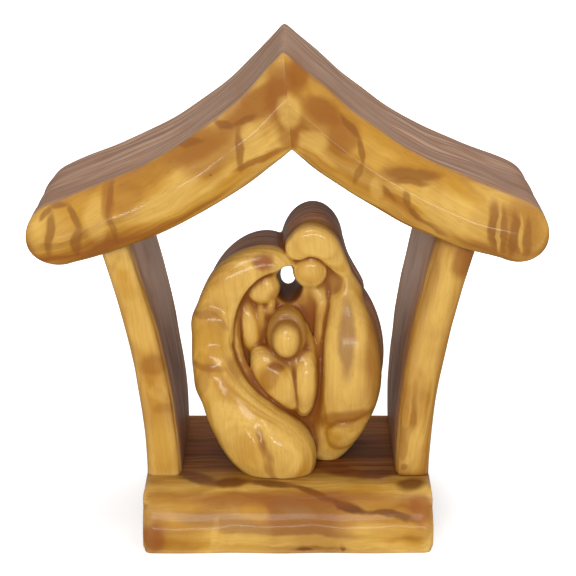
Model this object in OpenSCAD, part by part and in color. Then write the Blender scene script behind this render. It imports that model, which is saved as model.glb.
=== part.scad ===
// Hand-carved wooden nativity stable: base, two curved side walls, two thick
// roof slabs and a one-piece carved family group, pinned with hidden pegs.
// Millimetres. Origin at the middle of the underside of the base, +Z up,
// the open front faces -Y.

/* [Base] */
// Width of the base across the front
base_w = 66.6; // [62:0.1:72]
// Depth of the base, front to back
base_d = 50; // [48:0.5:56]
// Thickness of the base
base_t = 13.6; // [12.5:0.1:15]
// Radius of the large round-over along the front top edge
base_front_r = 9.4; // [5:0.1:10]
// Radius of the small rounded edges of the base
base_edge_r = 1.6; // [0.8:0.1:2.4]
// Radius of the rounded upright corners of the base
base_corner_r = 2.4; // [1:0.1:4]

/* [Side walls] */
// Distance from the side of the base in to the outer foot of a wall
wall_set_in = 0.3; // [0:0.1:1]
// How far the top of a wall leans out past its foot
wall_flare = 8.9; // [6:0.1:11]
// Height above the base at which the flare is measured
wall_flare_h = 54; // [50:1:60]
// Thickness of the left wall at its foot
left_foot_t = 8; // [7:0.1:9]
// Thickness of the left wall under the roof
left_top_t = 6.8; // [6.2:0.1:9]
// Thickness of the right wall at its foot
right_foot_t = 7.8; // [7:0.1:9]
// Thickness of the right wall under the roof
right_top_t = 9.4; // [6.4:0.1:10]
// Extra thickness of a wall along its back edge
wall_back_extra = 1.6; // [0:0.1:3]
// Distance from the front of the base back to the front of the walls
wall_front_gap = 12.5; // [11:0.5:16]
// Distance from the back of the base in to the back of the walls
wall_back_gap = 1.2; // [0.5:0.1:3]
// Radius of the rounded edges of the walls
wall_edge_r = 2.1; // [1:0.1:2.6]

/* [Roof] */
// Height of the ridge above the table
ridge_h = 114.2; // [109:0.1:119]
// Height of one slab at the ridge, measured straight down
ridge_t = 21.9; // [19:0.1:23]
// Thickness of a slab at the eave, square to its top
eave_t = 14.4; // [12:0.1:15]
// Pitch of the left slab beside the ridge, in degrees
left_pitch = 50.5; // [48:0.5:52]
// Pitch of the right slab beside the ridge, in degrees
right_pitch = 41.1; // [39:0.1:43]
// Pitch of the roof at the eaves, in degrees
eave_pitch = 22.8; // [20:0.1:25]
// Length of the straight run beside the ridge on the left slab
left_upper_run = 2; // [1:0.1:4]
// Length of the straight run beside the ridge on the right slab
right_upper_run = 17.5; // [15:0.1:20]
// Radius of the hollow bend in the top of a slab
bend_r = 91; // [86:1:95]
// Length of the straight run before the eave
lower_run = 17.7; // [15:0.1:19]
// How far the round nose of the eave stands out
nose_l = 7.7; // [6:0.1:9]
// Radius of the long arc of the underside
under_r = 116.5; // [105:0.5:135]
// How far the top of the mitre between the slabs stands right of the middle
mitre_top_x = -0.9; // [-1.5:0.05:1.5]
// How far the bottom of that mitre stands right of the middle
mitre_bottom_x = 0.85; // [-1.5:0.05:1.5]
// Distance from the front of the base back to the front of the roof
roof_front_gap = 7.5; // [6:0.5:9]
// Distance from the back of the base in to the back of the roof
roof_back_gap = 0.6; // [0.2:0.1:2]
// How far the top front edge lies behind the front ridge line of a slab
upper_lean = 2.4; // [1:0.1:3.5]
// How far the bottom front edge lies behind that line
lower_lean = 1.8; // [1:0.1:3]
// Radius along the top edges of a slab
top_edge_r = 1.6; // [0.8:0.1:2.4]
// Radius along the bottom edges of a slab
bottom_edge_r = 3; // [1.5:0.1:4]
// How far the ridge line is eased down from a sharp edge
ridge_ease = 0.7; // [0.2:0.1:1.2]

/* [Family group] */
// Clear width between the foot of a wall and the widest line of the group
side_room = 2.9; // [2:0.1:5]
// Clear height between the top of the group and the underside of the ridge
head_room = 18.3; // [17:0.1:24]
// Depth of the group from the front of the mother's robe to its back
family_d = 30; // [26:0.5:34]
// Radius of the gap between the two faces, at the front
face_gap_front_r = 3.2; // [2.6:0.1:3.6]
// Radius of that gap at the back
face_gap_back_r = 2.5; // [1.5:0.1:3]
// How softly the folds of one person run into each other
fold_blend = 1.8; // [1:0.1:2.4]
// How softly the people run into each other
people_blend = 0.7; // [0.4:0.1:1.4]

/* [Pegs] */
// Diameter of the pegs in the base, in the ridge and under the family
peg_d = 4; // [3:0.1:4.4]
// Diameter of the pegs between the walls and the roof
top_peg_d = 3; // [2.4:0.1:3.6]
// Length of a peg on each side of its joint
peg_reach = 7; // [5:0.5:8]
// Gap between a peg and its bore, all round
peg_gap = 0.05; // [0.02:0.01:0.1]
// Gap left past each end of a peg
peg_end_gap = 0.5; // [0.2:0.1:1]
// Bevel at each end of a peg
peg_bevel = 0.4; // [0.2:0.1:0.6]

/* [Hidden] */
// Steps round a full circle
round_steps = 48;
$fn = round_steps;

// Thickness of the glue between the top of a wall and the roof
glue_gap = 0.1;
// How far a cut runs past the face it starts from
overrun = 1;

// Turns a flat vector, and gives it unit length
function turned(v, a) = [v[0] * cos(a) - v[1] * sin(a), v[0] * sin(a) + v[1] * cos(a)];
function unit(v) = v / norm(v);
// Rounds the corners of a flat outline; each corner is [point, radius]
function rounded(corners, steps) = [
    for (i = [0 : len(corners) - 1])
        let (n = len(corners),
             p = corners[i][0],
             to_last = unit(corners[(i + n - 1) % n][0] - p),
             to_next = unit(corners[(i + 1) % n][0] - p),
             half = acos(to_last * to_next) / 2,
             r = corners[i][1],
             centre = p + unit(to_last + to_next) * r / sin(half),
             sweep = 180 - 2 * half,
             side = sign(to_last[0] * to_next[1] - to_last[1] * to_next[0]),
             first = p + to_last * r / tan(half) - centre)
        for (k = [0 : steps])
            centre + turned(first, -side * sweep * k / steps)
];

// Closed solid through a list of rings that all have the same number of points
module skin(rings, first_mid, last_mid) {
    n = len(rings[0]);
    rows = len(rings);
    points = [for (ring = rings) each ring, first_mid, last_mid];
    sides = [for (i = [0 : rows - 2], j = [0 : n - 1])
        let (a = i * n + j,
             b = i * n + (j + 1) % n,
             c = a + n,
             d = b + n)
        each [[a, b, c], [b, d, c]]];
    first_cap = [for (j = [0 : n - 1]) [(j + 1) % n, j, rows * n]];
    last_cap = [for (j = [0 : n - 1]) [(rows - 1) * n + j, (rows - 1) * n + (j + 1) % n, rows * n + 1]];
    polyhedron(points, concat(sides, first_cap, last_cap));
}

// Mean of a list of points
function mid(ring) = [for (axis = [0 : 2]) [for (p = ring) p[axis]] * [for (p = ring) 1] / len(ring)];

// Values of the left side (-1) or the right side (1)
function pitch(side) = side < 0 ? left_pitch : right_pitch;
function upper_run(side) = side < 0 ? left_upper_run : right_upper_run;
function foot_t(side) = side < 0 ? left_foot_t : right_foot_t;
function top_t(side) = side < 0 ? left_top_t : right_top_t;

// The top of a slab in the front view: straight run, hollow bend, straight run,
// measured outwards from the middle of the stable
function bend_l(side) = bend_r * (pitch(side) - eave_pitch) * PI / 180;
function top_l(side) = upper_run(side) + bend_l(side) + lower_run;
function roof_top(side, s) =
    let (a = pitch(side),
         first = min(s, upper_run(side)),
         b = a - max(0, min(s - upper_run(side), bend_l(side))) / bend_r * 180 / PI,
         last = max(0, s - upper_run(side) - bend_l(side)))
    [side * mitre_top_x + first * cos(a) + bend_r * (sin(a) - sin(b)) + last * cos(eave_pitch),
     ridge_h - first * sin(a) - bend_r * (cos(b) - cos(a)) - last * sin(eave_pitch)];

// The underside: one arc from below the ridge to the eave
eave_out = [cos(eave_pitch), -sin(eave_pitch)];
eave_up = [sin(eave_pitch), cos(eave_pitch)];
function under_from(side) = [side * mitre_bottom_x, ridge_h - ridge_t];
function under_to(side) = roof_top(side, top_l(side)) - eave_t * eave_up;
function under_mid(side) =
    let (chord = under_to(side) - under_from(side),
         half = norm(chord) / 2)
    (under_from(side) + under_to(side)) / 2
        + sqrt(under_r * under_r - half * half) * unit([-chord[1], chord[0]]);
function under_angle(side, p) =
    let (from_mid = p - under_mid(side))
    atan2(from_mid[1], from_mid[0]);
function roof_under(side, share) =
    let (first = under_angle(side, under_from(side)),
         last = under_angle(side, under_to(side)),
         a = first + (last - first) * share)
    under_mid(side) + under_r * [cos(a), sin(a)];
function under_z(side, x) =
    let (middle = under_mid(side))
    middle[1] - sqrt(under_r * under_r - (x - middle[0]) * (x - middle[0]));

// Depth of the roof
roof_front_y = -base_d / 2 + roof_front_gap;
roof_back_y = base_d / 2 - roof_back_gap;
// Shares of a slab's height at which its front ridge line starts and ends
front_ridge_shares = [0.54, 0.42];
// Number of steps along a slab, round its nose and round each edge
slab_steps = 20;
nose_steps = 6;
edge_steps = 3;
// Number of steps round the long edges of the base, and round its corners
base_edge_steps = 8;
base_corner_steps = 6;
// Distance from the mitre over which the ridge is eased
ease_l = 1.6;
// How far the nose narrows from front and back, as a share of its length
nose_plan_share = 0.3;
// Last angle of the nose, short of closing on itself
nose_last = 82;
// Corner radius left on the front ridge line of a slab
front_ridge_r = 5;

// One ring round a slab between a bottom point and a top point
function slab_ring(side, bottom, top, along, draw_in) =
    let (h = norm(top - bottom),
         full = min(1, h / eave_t),
         front = roof_front_y + draw_in,
         back = roof_back_y - draw_in,
         ridge_share = front_ridge_shares[0] + (front_ridge_shares[1] - front_ridge_shares[0]) * along,
         outline = rounded([
             [[back, 0], bottom_edge_r * full],
             [[front + lower_lean * full, 0], bottom_edge_r * full],
             [[front, h * ridge_share], front_ridge_r * full],
             [[front + upper_lean * full, h], top_edge_r * full],
             [[back, h], top_edge_r * full]], edge_steps))
    [for (p = outline)
        let (xz = bottom + (top - bottom) * p[1] / h)
        [side * xz[0], p[0], xz[1]]];

// Slab from the mitre at the ridge out to the round nose; side is -1 or 1
module roof_slab(side) {
    long = top_l(side);
    lengths = concat([0, ease_l], [for (i = [1 : slab_steps]) ease_l + (long - ease_l) * i / slab_steps]);
    body_rings = [for (s = lengths)
        let (eased = s == 0 ? ridge_ease : 0)
        slab_ring(side, roof_under(side, s / long), roof_top(side, s) - [0, eased], s / long, 0)];
    nose_mid = roof_top(side, long) - eave_up * eave_t / 2;
    nose_rings = [for (i = [1 : nose_steps])
        let (a = nose_last * i / nose_steps,
             across = eave_up * eave_t / 2 * cos(a),
             out = eave_out * nose_l * sin(a))
        slab_ring(side, nose_mid + out - across, nose_mid + out + across, 1,
                  nose_l * nose_plan_share * (1 - cos(a)))];
    rings = concat(body_rings, nose_rings);
    ordered = side > 0 ? rings : [for (ring = rings) [for (j = [len(ring) - 1 : -1 : 0]) ring[j]]];
    skin(ordered, mid(ordered[0]), mid(ordered[len(ordered) - 1]));
}

// How late the lean of a wall sets in, as a power of its share of the height
flare_bow_share = 1.8;
// A line up a wall: how far back it stands, and how far in from the outer
// face, as shares of the wall's depth and thickness
function wall_x(side, z, deep_share, in_share) =
    let (up = max(0, (z - base_t) / wall_flare_h),
         t = foot_t(side) + (top_t(side) - foot_t(side)) * up + wall_back_extra * deep_share * up)
    base_w / 2 - wall_set_in + wall_flare * pow(up, flare_bow_share) - t * in_share;
// Height at which that line meets the roof, found in a number of tries
function wall_top(side, deep_share, in_share, tries) =
    tries == 0 ? base_t + wall_flare_h :
    let (z = wall_top(side, deep_share, in_share, tries - 1))
    under_z(side, wall_x(side, z, deep_share, in_share)) - glue_gap;

wall_front_y = -base_d / 2 + wall_front_gap;
wall_back_y = base_d / 2 - wall_back_gap;
wall_d = wall_back_y - wall_front_y;
// Number of rings up a wall, and of tries that find its top
wall_rings = 14;
top_tries = 12;

// Curved wall between the base and the roof; side is -1 or 1
module side_wall(side) {
    t = foot_t(side);
    plan = rounded([
        [[0, wall_front_y], wall_edge_r],
        [[0, wall_back_y], wall_edge_r],
        [[-t, wall_back_y], wall_edge_r],
        [[-t, wall_front_y], wall_edge_r]], edge_steps);
    function at(p, up) =
        let (in_share = -p[0] / t,
             deep_share = (p[1] - wall_front_y) / wall_d,
             z = base_t + (wall_top(side, deep_share, in_share, top_tries) - base_t) * up)
        [side * wall_x(side, z, deep_share, in_share), p[1], z];
    rings = [for (i = [0 : wall_rings]) [for (p = plan) at(p, i / wall_rings)]];
    ordered = side > 0 ? rings : [for (ring = rings) [for (j = [len(ring) - 1 : -1 : 0]) ring[j]]];
    middle = [-t / 2, (wall_front_y + wall_back_y) / 2];
    skin(ordered, at(middle, 0), at(middle, 1));
}

// Places of the pegs: how far back each pair stands from the middle of a wall
peg_spread = wall_d / 4;
wall_mid_y = (wall_front_y + wall_back_y) / 2;
peg_rows = [wall_mid_y - peg_spread, wall_mid_y + peg_spread];

// Plain round peg with bevelled ends, standing on its middle
module peg(d, reach) {
    r = d / 2;
    rotate_extrude()
        polygon([[0, -reach], [r - peg_bevel, -reach], [r, -reach + peg_bevel],
                 [r, reach - peg_bevel], [r - peg_bevel, reach], [0, reach]]);
}
// Bore that a peg fits
module peg_bore(d, reach) {
    cylinder(h = 2 * (reach + peg_end_gap), d = d + 2 * peg_gap, center = true);
}

// Puts its children at the joint between a wall and the base
module at_foot(side, row) {
    x = side * (base_w / 2 - wall_set_in - foot_t(side) / 2);
    translate([x, peg_rows[row], base_t]) children();
}
// Puts its children at the joint between a wall and the roof, along the wall
module at_top(side, row) {
    deep_share = (peg_rows[row] - wall_front_y) / wall_d;
    z = wall_top(side, deep_share, 1 / 2, top_tries);
    x = wall_x(side, z, deep_share, 1 / 2);
    lean = atan2(x - wall_x(side, z - peg_reach, deep_share, 1 / 2), peg_reach);
    translate([side * x, peg_rows[row], z]) rotate([0, side * lean, 0]) children();
}
// How far down the mitre between the slabs the ridge pegs run
ridge_peg_share = 0.6;
// Puts its children at the joint between the two slabs
module at_ridge(row) {
    x = mitre_top_x + (mitre_bottom_x - mitre_top_x) * ridge_peg_share;
    translate([x, peg_rows[row], ridge_h - ridge_t * ridge_peg_share]) rotate([0, 90, 0]) children();
}

// Width and height that the walls and the roof leave for the carved group
family_w = base_w - 2 * wall_set_in - left_foot_t - right_foot_t - 2 * side_room;
family_h = ridge_h - ridge_t - base_t - head_room;
// The carved group is one relief. At each height its front and back are the
// outermost of the forms below, in shares of its width, depth and height,
// measured from the middle of its foot. Each list holds the forms of the
// mother, the father, the father's hood and the child.
// A swell is [centre, half sizes, tilt in degrees, squareness front to back].
swell_shares = [
    [[[-0.005, 0.1, 0.417], [0.41, 0.25, 0.414], 0, 4],            // body
     [[-0.19, 0.113, 0.689], [0.21, 0.333, 0.218], -36, 6]],        // head
    [[[0.092, 0.267, 0.416], [0.423, 0.2, 0.389], 10, 3.2],         // back of the group
     [[0.126, 0.153, 0.838], [0.167, 0.307, 0.162], -3, 5]],       // head
    [],
    [[[-0.203, -0.06, 0.547], [0.065, 0.167, 0.133], -4, 2.2],     // mother's lap
     [[-0.11, -0.047, 0.613], [0.052, 0.153, 0.089], -12, 2.2],     // mother's chest
     [[0.005, -0.107, 0.533], [0.144, 0.163, 0.119], 0, 2.8],       // child's hood
     [[-0.043, -0.143, 0.348], [0.106, 0.173, 0.158], 34, 2.3],     // left half of the child
     [[0.106, -0.127, 0.348], [0.059, 0.17, 0.172], -2, 2.3]]];    // right half of the child
// A fold is a band along a path of [centre, half width], round from front to
// back to a share of its half width
fold_shares = [
    [[0.9, [[[-0.059, -0.107, 0.828], 0.036], [[-0.126, -0.113, 0.821], 0.068],
            [[-0.207, -0.113, 0.798], 0.095], [[-0.293, -0.113, 0.746], 0.11],
            [[-0.358, -0.12, 0.665], 0.101], [[-0.39, -0.127, 0.586], 0.101]]],   // veil
     [0.95, [[[-0.396, -0.133, 0.579], 0.104], [[-0.396, -0.14, 0.497], 0.108],
             [[-0.385, -0.157, 0.422], 0.115], [[-0.36, -0.167, 0.356], 0.122]]],  // arm
     [0.85, [[[-0.347, -0.167, 0.348], 0.131], [[-0.261, -0.2, 0.229], 0.164],
             [[-0.153, -0.233, 0.123], 0.191], [[-0.059, -0.257, 0.063], 0.178],
             [[-0.009, -0.28, 0.043], 0.14]]]],                                   // leg
    [[1.2, [[[0.185, 0.067, 0.877], 0.09], [[0.239, 0.05, 0.786], 0.095],
            [[0.288, 0.033, 0.695], 0.113]]],                                     // nape
     [0.85, [[[0.207, 0.007, 0.803], 0.077], [[0.243, -0.033, 0.712], 0.095],
             [[0.284, -0.053, 0.619], 0.131], [[0.318, -0.073, 0.478], 0.164],
             [[0.322, -0.077, 0.325], 0.171], [[0.288, -0.067, 0.195], 0.146],
             [[0.239, -0.04, 0.096], 0.113], [[0.203, -0.03, 0.05], 0.095]]],     // robe
     [0.9, [[[0.158, -0.053, 0.753], 0.041], [[0.149, -0.087, 0.604], 0.056],
            [[0.153, -0.097, 0.463], 0.056], [[0.176, -0.097, 0.32], 0.056],
            [[0.176, -0.083, 0.164], 0.063], [[0.162, -0.063, 0.056], 0.072]]]],  // sleeve
    [[0.75, [[[0.115, -0.083, 0.897], 0.122], [[0.167, -0.083, 0.864], 0.113],
             [[0.223, -0.083, 0.81], 0.07]]]],                                   // hood
    [[1, [[[-0.189, -0.153, 0.727], 0.02], [[-0.245, -0.173, 0.685], 0.027],
          [[-0.277, -0.2, 0.633], 0.032], [[-0.284, -0.213, 0.553], 0.034],
          [[-0.25, -0.227, 0.446], 0.034], [[-0.169, -0.247, 0.349], 0.034],
          [[-0.043, -0.273, 0.249], 0.032], [[0.077, -0.293, 0.162], 0.027],
          [[0.126, -0.293, 0.089], 0.02]]]]];                                      // lip of the cloak
// Hollows cut round the faces
hollow_shares = [
    [[0.115, -0.32, 0.781], [0.11, 0.197, 0.079], 0, 2.4],
    [[-0.113, -0.32, 0.724], [0.086, 0.177, 0.083], -38, 2.4],
    [[-0.005, -0.313, 0.545], [0.115, 0.127, 0.099], 0, 2.2]];
// The plain ovals that stand in them: father, mother, her cheek, child
face_shares = [
    [[0.114, -0.08, 0.785], [0.092, 0.117, 0.068], 0, 2.8],
    [[-0.135, -0.09, 0.712], [0.072, 0.113, 0.056], 0, 2.6],
    [[-0.077, -0.1, 0.74], [0.047, 0.117, 0.068], -10, 2.4],
    [[-0.009, -0.173, 0.54], [0.095, 0.15, 0.086], 0, 2.2]];
// Cut lines: [path across the front, half width, depth]
cut_shares = [
    [[[-0.486, 0.606], [-0.423, 0.626], [-0.365, 0.616], [-0.324, 0.569]], 0.032, 0.012],  // shoulder
    [[[-0.486, 0.384], [-0.423, 0.401], [-0.356, 0.371], [-0.293, 0.315]], 0.032, 0.012],  // elbow
    [[[-0.185, 0.245], [-0.153, 0.175], [-0.122, 0.106], [-0.099, 0.01]], 0.034, 0.015],   // knee
    [[[0.279, 0.109], [0.351, 0.123], [0.437, 0.165]], 0.023, 0.012]];                    // hem of the robe
// The gap between the faces: where its middle lies at the front and the back
gap_front_shares = [0.002, -0.2, 0.735];
gap_back_shares = [0.002, 0.3, 0.709];
// Places of the two pegs in its foot, as shares of its width and depth
family_peg_shares = [[-0.13, -0.1], [0.15, 0.13]];
// Rows up the group, and columns across its front and its back
family_rows = 56;
front_cols = 52;
back_cols = 16;
// How much closer the columns lie at the sides, and the rows at the top
side_gather_share = 0.6;
top_gather_share = 0.45;
// Height of the last row, and the least thickness between front and back
last_row_share = 0.997;
thin_share = 0.02;
// Steep fall outside the outline of a form, as a share of the distance from it
fall_share = 3;
// Steps along one stretch of a fold where the outline is searched
fold_steps = 5;
// How far round a point its depth is averaged, as a share of the width
average_share = 0.008;

function scaled(p) = [p[0] * family_w, p[1] * family_d, p[2] * family_h];
function soft_min(a, b, reach) =
    let (h = max(reach - abs(a - b), 0) / reach)
    min(a, b) - h * h * reach / 4;

// Front (way -1) or back (way 1) of a swell above a point of the front view
function swell_y(s, x, z, way) =
    let (c = scaled(s[0]),
         r = scaled(s[1]),
         dx = x - c[0],
         dz = z - c[2],
         a = dx * cos(s[2]) + dz * sin(s[2]),
         b = -dx * sin(s[2]) + dz * cos(s[2]),
         out = sqrt(a * a / r[0] / r[0] + b * b / r[2] / r[2]))
    c[1] + (out < 1 ? way * r[1] * pow(1 - pow(out, s[3]), 1 / s[3])
                    : -way * fall_share * (out - 1) * min(r[0], r[2]));
// The same for one stretch of a fold
function stretch_y(flat, from, to, x, z, way) =
    let (p = scaled(from[0]),
         q = scaled(to[0]),
         ax = q[0] - p[0],
         az = q[2] - p[2],
         t = max(0, min(1, ((x - p[0]) * ax + (z - p[2]) * az) / (ax * ax + az * az))),
         d = norm([x - p[0] - t * ax, z - p[2] - t * az]),
         r = (from[1] + (to[1] - from[1]) * t) * family_w,
         y = p[1] + (q[1] - p[1]) * t)
    y + (d < r ? way * flat * sqrt(r * r - d * d) : -way * fall_share * (d - r));
function fold_y(f, x, z, way) =
    let (path = f[1],
         all = [for (i = [0 : len(path) - 2]) stretch_y(f[0], path[i], path[i + 1], x, z, way)])
    way < 0 ? min(all) : max(all);
// Blends a list of depths, from its last member on
function blended(list, reach, i = 0) =
    i == len(list) - 1 ? list[i] : soft_min(list[i], blended(list, reach, i + 1), reach);
// Outermost of all forms, counted outwards: first within each list of forms,
// then among the lists
function bulk_y(x, z, way) = way * -blended([
    for (k = [0 : len(swell_shares) - 1])
        blended(concat(
            [for (s = swell_shares[k]) -way * swell_y(s, x, z, way)],
            [for (f = fold_shares[k]) -way * fold_y(f, x, z, way)]), fold_blend)], people_blend);
// Depth of one cut line at a point of the front view
function cut_at(cut, x, z) =
    let (n = len(cut[0]) - 1)
    max([for (i = [0 : n - 1])
        let (px = cut[0][i][0] * family_w,
             pz = cut[0][i][1] * family_h,
             ax = cut[0][i + 1][0] * family_w - px,
             az = cut[0][i + 1][1] * family_h - pz,
             t = max(0, min(1, ((x - px) * ax + (z - pz) * az) / (ax * ax + az * az))),
             d = norm([x - px - t * ax, z - pz - t * az]) / cut[1] / family_w,
             along = (i + t) / n,
             fade = min(1, 4 * min(along, 1 - along)),
             near = max(0, 1 - d * d))
        fade * near * near * cut[2] * family_d]);

function carved_y(x, z) =
    let (hollowed = max(concat([bulk_y(x, z, -1)], [for (s = hollow_shares) swell_y(s, x, z, 1)])),
         faced = min(concat([hollowed], [for (s = face_shares) swell_y(s, x, z, -1)])))
    faced + max([for (cut = cut_shares) cut_at(cut, x, z)]);
// The front is averaged over four points, so that steep sides stay even
function front_y(x, z) =
    let (a = average_share * family_w,
         spots = [for (i = [-1, 1], k = [-1, 1]) carved_y(x + i * a, z + k * a)])
    spots * [1, 1, 1, 1] / len(spots);
function back_y(x, z) = bulk_y(x, z, 1);

// Reach of a disc or a tilted oval to one side at a height
function swell_reach(s, z, way) =
    let (c = scaled(s[0]),
         r = scaled(s[1]),
         dz = z - c[2],
         p = cos(s[2]) * cos(s[2]) / r[0] / r[0] + sin(s[2]) * sin(s[2]) / r[2] / r[2],
         q = dz * cos(s[2]) * sin(s[2]) * (1 / r[0] / r[0] - 1 / r[2] / r[2]),
         w = dz * dz * (sin(s[2]) * sin(s[2]) / r[0] / r[0] + cos(s[2]) * cos(s[2]) / r[2] / r[2]) - 1,
         inside = q * q - p * w)
    inside < 0 ? [] : [[c[0] + (-q + way * sqrt(inside)) / p, c[1]]];
function fold_reach(path, z, way) = [
    for (i = [0 : len(path) - 2], k = [0 : fold_steps])
        let (t = k / fold_steps,
             c = scaled(path[i][0] + (path[i + 1][0] - path[i][0]) * t),
             r = (path[i][1] + (path[i + 1][1] - path[i][1]) * t) * family_w,
             dz = z - c[2])
        if (abs(dz) < r) [c[0] + way * sqrt(r * r - dz * dz), c[1]]];
function furthest(list, way) =
    let (far = max([for (p = list) way * p[0]]))
    [for (p = list) if (way * p[0] == far) p][0];
function edge_at(z, way) = furthest(concat(
    [for (list = swell_shares, s = list) each swell_reach(s, z, way)],
    [for (list = fold_shares, f = list) each fold_reach(f[1], z, way)]), way);

// One level ring round the group: front from left to right, then back again
function gathered(u, share) = u * (1 - share) + share * (1 - cos(180 * u)) / 2;
function family_ring(z) =
    let (left = edge_at(z, -1),
         right = edge_at(z, 1),
         across = right[0] - left[0])
    concat(
        [[left[0], left[1], z]],
        [for (i = [1 : front_cols - 1])
            let (x = left[0] + across * gathered(i / front_cols, side_gather_share))
            [x, front_y(x, z), z]],
        [[right[0], right[1], z]],
        [for (i = [back_cols - 1 : -1 : 1])
            let (x = left[0] + across * gathered(i / back_cols, side_gather_share))
            [x, max(back_y(x, z), front_y(x, z) + thin_share * family_d), z]]);

module family_solid() {
    rings = [for (i = [0 : family_rows])
        let (u = i / family_rows,
             up = u * (1 - top_gather_share) + top_gather_share * sin(90 * u))
        family_ring(up * last_row_share * family_h)];
    n = len(rings[0]);
    points = [for (ring = rings) each ring];
    sides = [for (i = [0 : family_rows - 1], j = [0 : n - 1])
        let (a = i * n + j,
             b = i * n + (j + 1) % n)
        each [[a, a + n, b], [b, a + n, b + n]]];
    foot = [for (j = [0 : n - 1]) j];
    crown = [for (j = [n - 1 : -1 : 0]) family_rows * n + j];
    translate([0, 0, base_t]) polyhedron(points, concat(sides, [foot, crown]));
}

// Puts its children at the joint between the group and the base
module at_family(i) {
    translate([family_peg_shares[i][0] * family_w, family_peg_shares[i][1] * family_d, base_t]) children();
}
// Puts its children where the gap between the faces runs, from front to back
module at_gap() {
    from = scaled(gap_front_shares);
    to = scaled(gap_back_shares);
    way = to - from;
    translate([0, 0, base_t]) translate(from)
        rotate([0, acos(way[2] / norm(way)), atan2(way[1], way[0])]) children();
}

module base() {
    color("peru") difference() {
        intersection() {
            rotate([90, 0, 90])
                linear_extrude(height = base_w, center = true)
                    polygon(rounded([
                        [[-base_d / 2, 0], base_edge_r / 2],
                        [[base_d / 2, 0], base_edge_r / 2],
                        [[base_d / 2, base_t], base_edge_r],
                        [[-base_d / 2, base_t], base_front_r]], base_edge_steps));
            linear_extrude(height = base_t)
                polygon(rounded([
                    [[-base_w / 2, -base_d / 2], base_corner_r],
                    [[base_w / 2, -base_d / 2], base_corner_r],
                    [[base_w / 2, base_d / 2], base_corner_r],
                    [[-base_w / 2, base_d / 2], base_corner_r]], base_corner_steps));
        }
        for (row = [0, 1]) {
            at_foot(-1, row) peg_bore(peg_d, peg_reach);
            at_foot(1, row) peg_bore(peg_d, peg_reach);
            at_family(row) peg_bore(peg_d, peg_reach);
        }
    }
}

module left_wall() {
    color("goldenrod") difference() {
        side_wall(-1);
        for (row = [0, 1]) {
            at_foot(-1, row) peg_bore(peg_d, peg_reach);
            at_top(-1, row) peg_bore(top_peg_d, peg_reach);
        }
    }
}

module right_wall() {
    color("goldenrod") difference() {
        side_wall(1);
        for (row = [0, 1]) {
            at_foot(1, row) peg_bore(peg_d, peg_reach);
            at_top(1, row) peg_bore(top_peg_d, peg_reach);
        }
    }
}

module left_roof_slab() {
    color("sandybrown") difference() {
        roof_slab(-1);
        for (row = [0, 1]) {
            at_top(-1, row) peg_bore(top_peg_d, peg_reach);
            at_ridge(row) peg_bore(peg_d, peg_reach);
        }
    }
}

module right_roof_slab() {
    color("sandybrown") difference() {
        roof_slab(1);
        for (row = [0, 1]) {
            at_top(1, row) peg_bore(top_peg_d, peg_reach);
            at_ridge(row) peg_bore(peg_d, peg_reach);
        }
    }
}

module family_figure() {
    reach = family_d * (gap_back_shares[1] - gap_front_shares[1]);
    widen = (face_gap_front_r - face_gap_back_r) * overrun / reach;
    color("gold") difference() {
        family_solid();
        at_gap() translate([0, 0, -overrun])
            cylinder(h = reach + 2 * overrun, r1 = face_gap_front_r + widen,
                     r2 = face_gap_back_r - widen);
        for (i = [0, 1]) at_family(i) peg_bore(peg_d, peg_reach);
    }
}

module foot_peg(side, row) {
    color("burlywood") at_foot(side, row) peg(peg_d, peg_reach);
}
module top_peg(side, row) {
    color("burlywood") at_top(side, row) peg(top_peg_d, peg_reach);
}
module family_peg(i) {
    color("burlywood") at_family(i) peg(peg_d, peg_reach);
}
module ridge_peg(row) {
    color("burlywood") at_ridge(row) peg(peg_d, peg_reach);
}

base();
left_wall();
right_wall();
left_roof_slab();
right_roof_slab();
family_figure();
family_peg(0);  // family_peg_left
family_peg(1);  // family_peg_right
foot_peg(-1, 0);  // left_foot_peg_front
foot_peg(-1, 1);  // left_foot_peg_back
foot_peg(1, 0);  // right_foot_peg_front
foot_peg(1, 1);  // right_foot_peg_back
top_peg(-1, 0);  // left_top_peg_front
top_peg(-1, 1);  // left_top_peg_back
top_peg(1, 0);  // right_top_peg_front
top_peg(1, 1);  // right_top_peg_back
ridge_peg(0);  // ridge_peg_front
ridge_peg(1);  // ridge_peg_back
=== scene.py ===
import bpy
import math
import numpy as np
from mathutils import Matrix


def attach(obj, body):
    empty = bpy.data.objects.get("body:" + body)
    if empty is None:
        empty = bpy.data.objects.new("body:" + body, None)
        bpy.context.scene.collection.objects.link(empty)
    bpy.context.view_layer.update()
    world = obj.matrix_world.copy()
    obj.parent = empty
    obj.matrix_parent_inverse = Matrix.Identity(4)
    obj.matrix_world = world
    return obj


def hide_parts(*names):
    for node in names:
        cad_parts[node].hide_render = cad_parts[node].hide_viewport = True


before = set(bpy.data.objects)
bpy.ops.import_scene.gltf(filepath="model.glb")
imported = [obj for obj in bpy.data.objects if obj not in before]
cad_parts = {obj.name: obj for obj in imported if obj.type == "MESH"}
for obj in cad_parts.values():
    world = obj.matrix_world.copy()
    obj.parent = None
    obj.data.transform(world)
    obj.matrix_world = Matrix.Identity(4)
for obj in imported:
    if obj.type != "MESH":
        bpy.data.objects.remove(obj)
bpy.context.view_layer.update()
scene = bpy.context.scene
mm = 0.001


# node trees written as sums

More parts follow.
